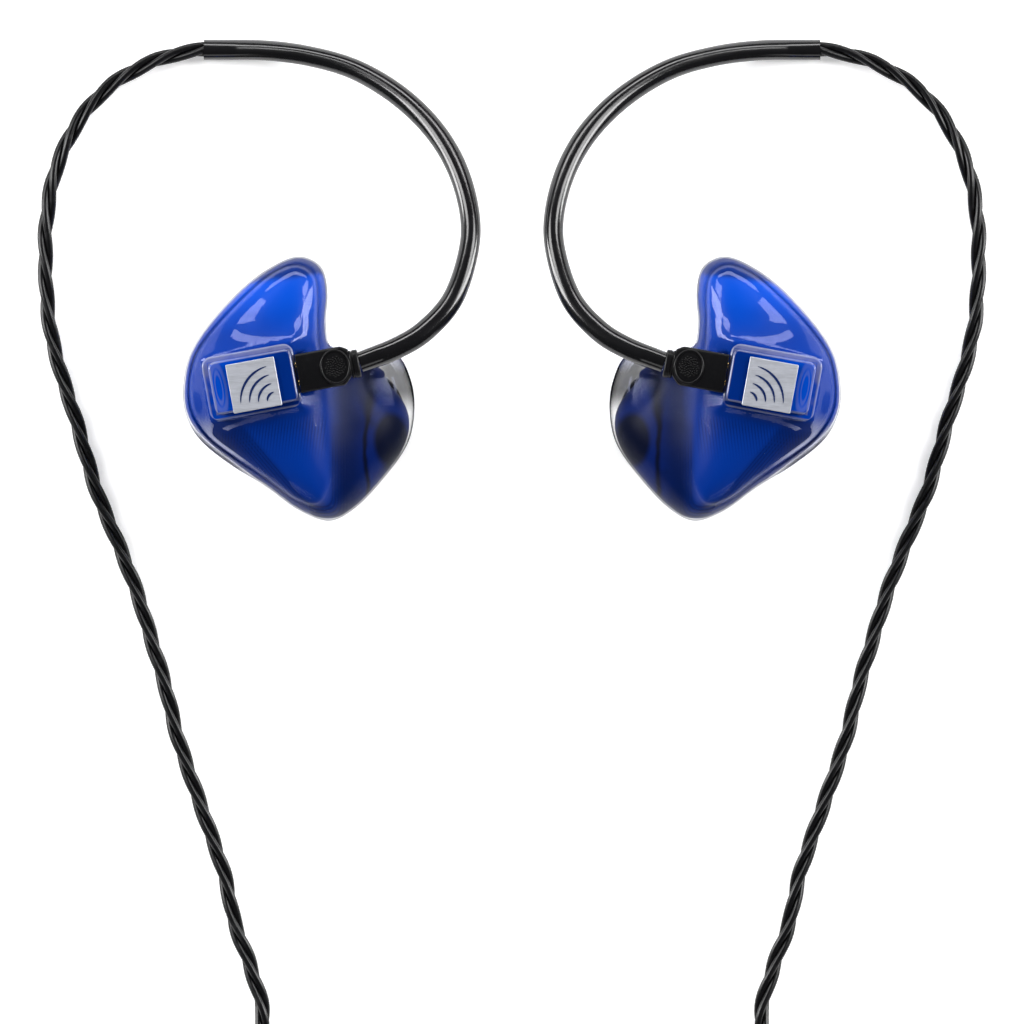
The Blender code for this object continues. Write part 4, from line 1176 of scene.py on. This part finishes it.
class EARPHONES_OT_tiles(bpy.types.Operator):
    """Add the metal tiles with their sound-wave marks"""

    bl_idname = "earphones.tiles"
    bl_label = "Tiles"

    def execute(self, context):
        chosen = context.scene.earphones_trim
        metal = brushed_metal(tuple(chosen.tile))
        enamel = satin_plastic("mark_enamel", tuple(chosen.mark), 0.3, 1500.0, 0.004)
        half = chosen.mark_width / MM / 2
        for name, side in SIDES.items():
            shape(f"{name}_tile", slab(*BADGE, rolled_edge(*BADGE_EDGE, 5)), metal,
                  f"{name}_earpiece", side, replaces=[f"{name}_badge"])
            shape(f"{name}_tile_mark", self.arcs(half), enamel, f"{name}_earpiece", side)
        return {"FINISHED"}

    def arcs(self, half):
        """Four quarter rings about one corner of the tile, each a strip of square section
        whose width tapers to its ends as root(sin) of the way along it."""
        angle = np.linspace(radians(6), radians(84), 48)
        taper = half * np.sqrt(np.clip(np.sin(np.linspace(0.02, pi - 0.02, 48)), 0, 1))
        grids = []
        for radius in MARK_RADII:
            corner = np.array([[1, 1], [-1, 1], [-1, 0], [1, 0]])
            reach = radius + taper[:, None] * corner[:, 0]
            grids.append(on_boss(MARK_CORNER[0] + reach * np.cos(angle)[:, None],
                                 MARK_CORNER[1] + reach * np.sin(angle)[:, None],
                                 MARK_HEIGHT + MARK_RELIEF * corner[:, 1] + 0 * reach))
        return grids


class EARPHONES_OT_plugs(bpy.types.Operator):
    """Add the two-pin plugs with their ring badge, collar and pins"""

    bl_idname = "earphones.plugs"
    bl_label = "Plugs"

    def execute(self, context):
        chosen = context.scene.earphones_trim
        nylon = satin_plastic("black_nylon", tuple(chosen.nylon), 0.34, 800.0, 0.02)
        gold = bare_metal("pin_gold", tuple(chosen.gold), 0.16)
        for name, side in SIDES.items():
            shape(f"{name}_plug_block", self.block(), nylon, "cable_set", side,
                  replaces=[f"{name}_plug_body"])
            shape(f"{name}_plug_ring", self.ring(), nylon, "cable_set", side, looped=True)
            shape(f"{name}_plug_grain", self.grain(), nylon, "cable_set", side)
            shape(f"{name}_plug_neck", self.collar(), nylon, "cable_set", side,
                  replaces=[f"{name}_plug_collar"])
            for label, across in (("lower", -PIN_PITCH / 2), ("upper", PIN_PITCH / 2)):
                pin = lathe(on_boss(PIN_START, across, PLUG_HEIGHT), ALONG, PIN_PROFILE, 28)
                shape(f"{name}_pin_{label}", pin, gold, "cable_set", side,
                      replaces=[f"{name}_plug_pin_{label}"])
        return {"FINISHED"}

    def block(self):
        """The block: rounded boxes across the axis. The lower side swings up to the collar
        round the ring as a circle's edge, and both ends are drawn in by a quarter circle."""
        (start, end), (wide, thick) = BLOCK_ENDS, BLOCK_HALF
        u = np.concatenate([np.linspace(start, -9.0, 44), np.linspace(-8.9, -6.0, 16),
                            np.linspace(-5.8, end, 10)])
        ends = rolled(np.minimum(u - start, end - u), BLOCK_ROLL)
        low = -wide + 1.15 * smooth_step(-u, 11.0, 12.6)
        high = wide - 0.55 * smooth_step(-u, 11.2, 12.5)
        rings = []
        for at, inset, v0, v1 in zip(u, ends, low, high):
            flat = rounded_box(((v1 - v0) / 2 - inset, thick - inset), 0.34, 6)
            rings.append(on_boss(at, flat[:, 0] + (v0 + v1) / 2, PLUG_HEIGHT + flat[:, 1]))
        return np.array(rings)

    def ring(self):
        """The raised ring: a circle's section carried round an oval on the block's top."""
        a = (np.arange(64) * 2 * pi / 64)[:, None]
        b = np.arange(14) * 2 * pi / 14
        reach = RING_TUBE * np.cos(b) - 0.1
        return on_boss(RING_MIDDLE + (RING_RADII[0] + reach) * np.cos(a),
                       (RING_RADII[1] + reach) * np.sin(a),
                       PLUG_HEIGHT + BLOCK_HALF[1] + RING_TUBE * np.sin(b) + 0 * a)

    def grain(self):
        """Beads on the disc inside the ring: bead k at root(k) out and k golden angles round,
        each a dome of small rings."""
        k = np.arange(1, GRAIN_BEADS + 1)
        out, turn = GRAIN_REACH * np.sqrt(k / GRAIN_BEADS), k * pi * (3 - 5**0.5)
        a = np.arange(8) * 2 * pi / 8
        rise = np.linspace(-0.5, 1.25, 5)
        reach, up = 0.125 * np.cos(rise), 0.11 * np.sin(rise)
        u = (out * np.cos(turn))[:, None, None] + reach[:, None] * np.cos(a)
        v = (out * np.sin(turn))[:, None, None] + reach[:, None] * np.sin(a)
        return on_boss(RING_MIDDLE + u, v, PLUG_HEIGHT + 1.43 + up[:, None] + 0 * u)

    def collar(self):
        """The neck between block and hook: a rounded box with a groove round its middle."""
        (start, end), (wide, thick) = NECK_ENDS, NECK_HALF
        u = np.linspace(start, end, 24)
        groove = 0.1 * (np.abs(u + 12.55) < 0.1)
        rings = []
        for at, inset in zip(u, rolled(np.minimum(u - start, end - u), NECK_ROLL) + groove):
            flat = rounded_box((wide - inset, thick - inset), 1.0, 8)
            rings.append(on_boss(at, flat[:, 0] - 0.05, PLUG_HEIGHT + flat[:, 1]))
        return np.array(rings)


class EARPHONES_OT_insides(bpy.types.Operator):
    """Give the drivers, crossover, sound tubes, dampers and sockets their finishes"""

    bl_idname = "earphones.insides"
    bl_label = "Inner parts"

    def execute(self, context):
        gold = tuple(context.scene.earphones_trim.gold)
        finishes = {
            "driver": bare_metal("driver_steel", (0.55, 0.55, 0.57), 0.3),
            "board": circuit_board(),
            "sound_tube": see_through_vinyl(),
            "damper": satin_plastic("damper_plastic", (0.62, 0.58, 0.46), 0.55, 900.0, 0.02),
            "socket_contact": bare_metal("contact_gold", gold, 0.2),
            "socket_block": satin_plastic("socket_plastic", (0.012, 0.012, 0.014), 0.42, 900.0,
                                          0.01),
        }
        for name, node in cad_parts.items():
            for word, finish in finishes.items():
                if word in name:
                    node.data.materials.clear()
                    node.data.materials.append(finish)
        return {"FINISHED"}


# ---------------------------------------------------------------- panel and registration

GROUPS = (ShellSettings, TrimSettings, CordSettings, StageSettings)
OPERATORS = (
    EARPHONES_OT_stage, EARPHONES_OT_split, EARPHONES_OT_jack, EARPHONES_OT_cords,
    EARPHONES_OT_hooks, EARPHONES_OT_shells, EARPHONES_OT_bosses, EARPHONES_OT_tiles,
    EARPHONES_OT_plugs, EARPHONES_OT_insides,
)
SETTINGS = {
    "earphones_shell": ShellSettings, "earphones_trim": TrimSettings,
    "earphones_cords": CordSettings, "earphones_stage": StageSettings,
}


class EARPHONES_PT_panel(bpy.types.Panel):
    """The sidebar's list of settings and pieces"""

    bl_idname = "EARPHONES_PT_panel"
    bl_label = "In-ear monitors"
    bl_space_type = "VIEW_3D"
    bl_region_type = "UI"
    bl_category = "Earphones"

    def draw(self, context):
        for name, group in SETTINGS.items():
            box = self.layout.box()
            for setting in group.__annotations__:
                box.prop(getattr(context.scene, name), setting)
        column = self.layout.column(align=True)
        for operator in OPERATORS:
            column.operator(operator.bl_idname)


def register():
    for group in (*GROUPS, *OPERATORS, EARPHONES_PT_panel):
        bpy.utils.register_class(group)
    for name, group in SETTINGS.items():
        setattr(bpy.types.Scene, name, PointerProperty(type=group))


def unregister():
    for name in SETTINGS:
        delattr(bpy.types.Scene, name)
    for group in (EARPHONES_PT_panel, *reversed(OPERATORS), *reversed(GROUPS)):
        bpy.utils.unregister_class(group)


def main():
    register()
    for operator in OPERATORS:
        category, name = operator.bl_idname.split(".")
        getattr(getattr(bpy.ops, category), name)()


if __name__ == "__main__":
    main()
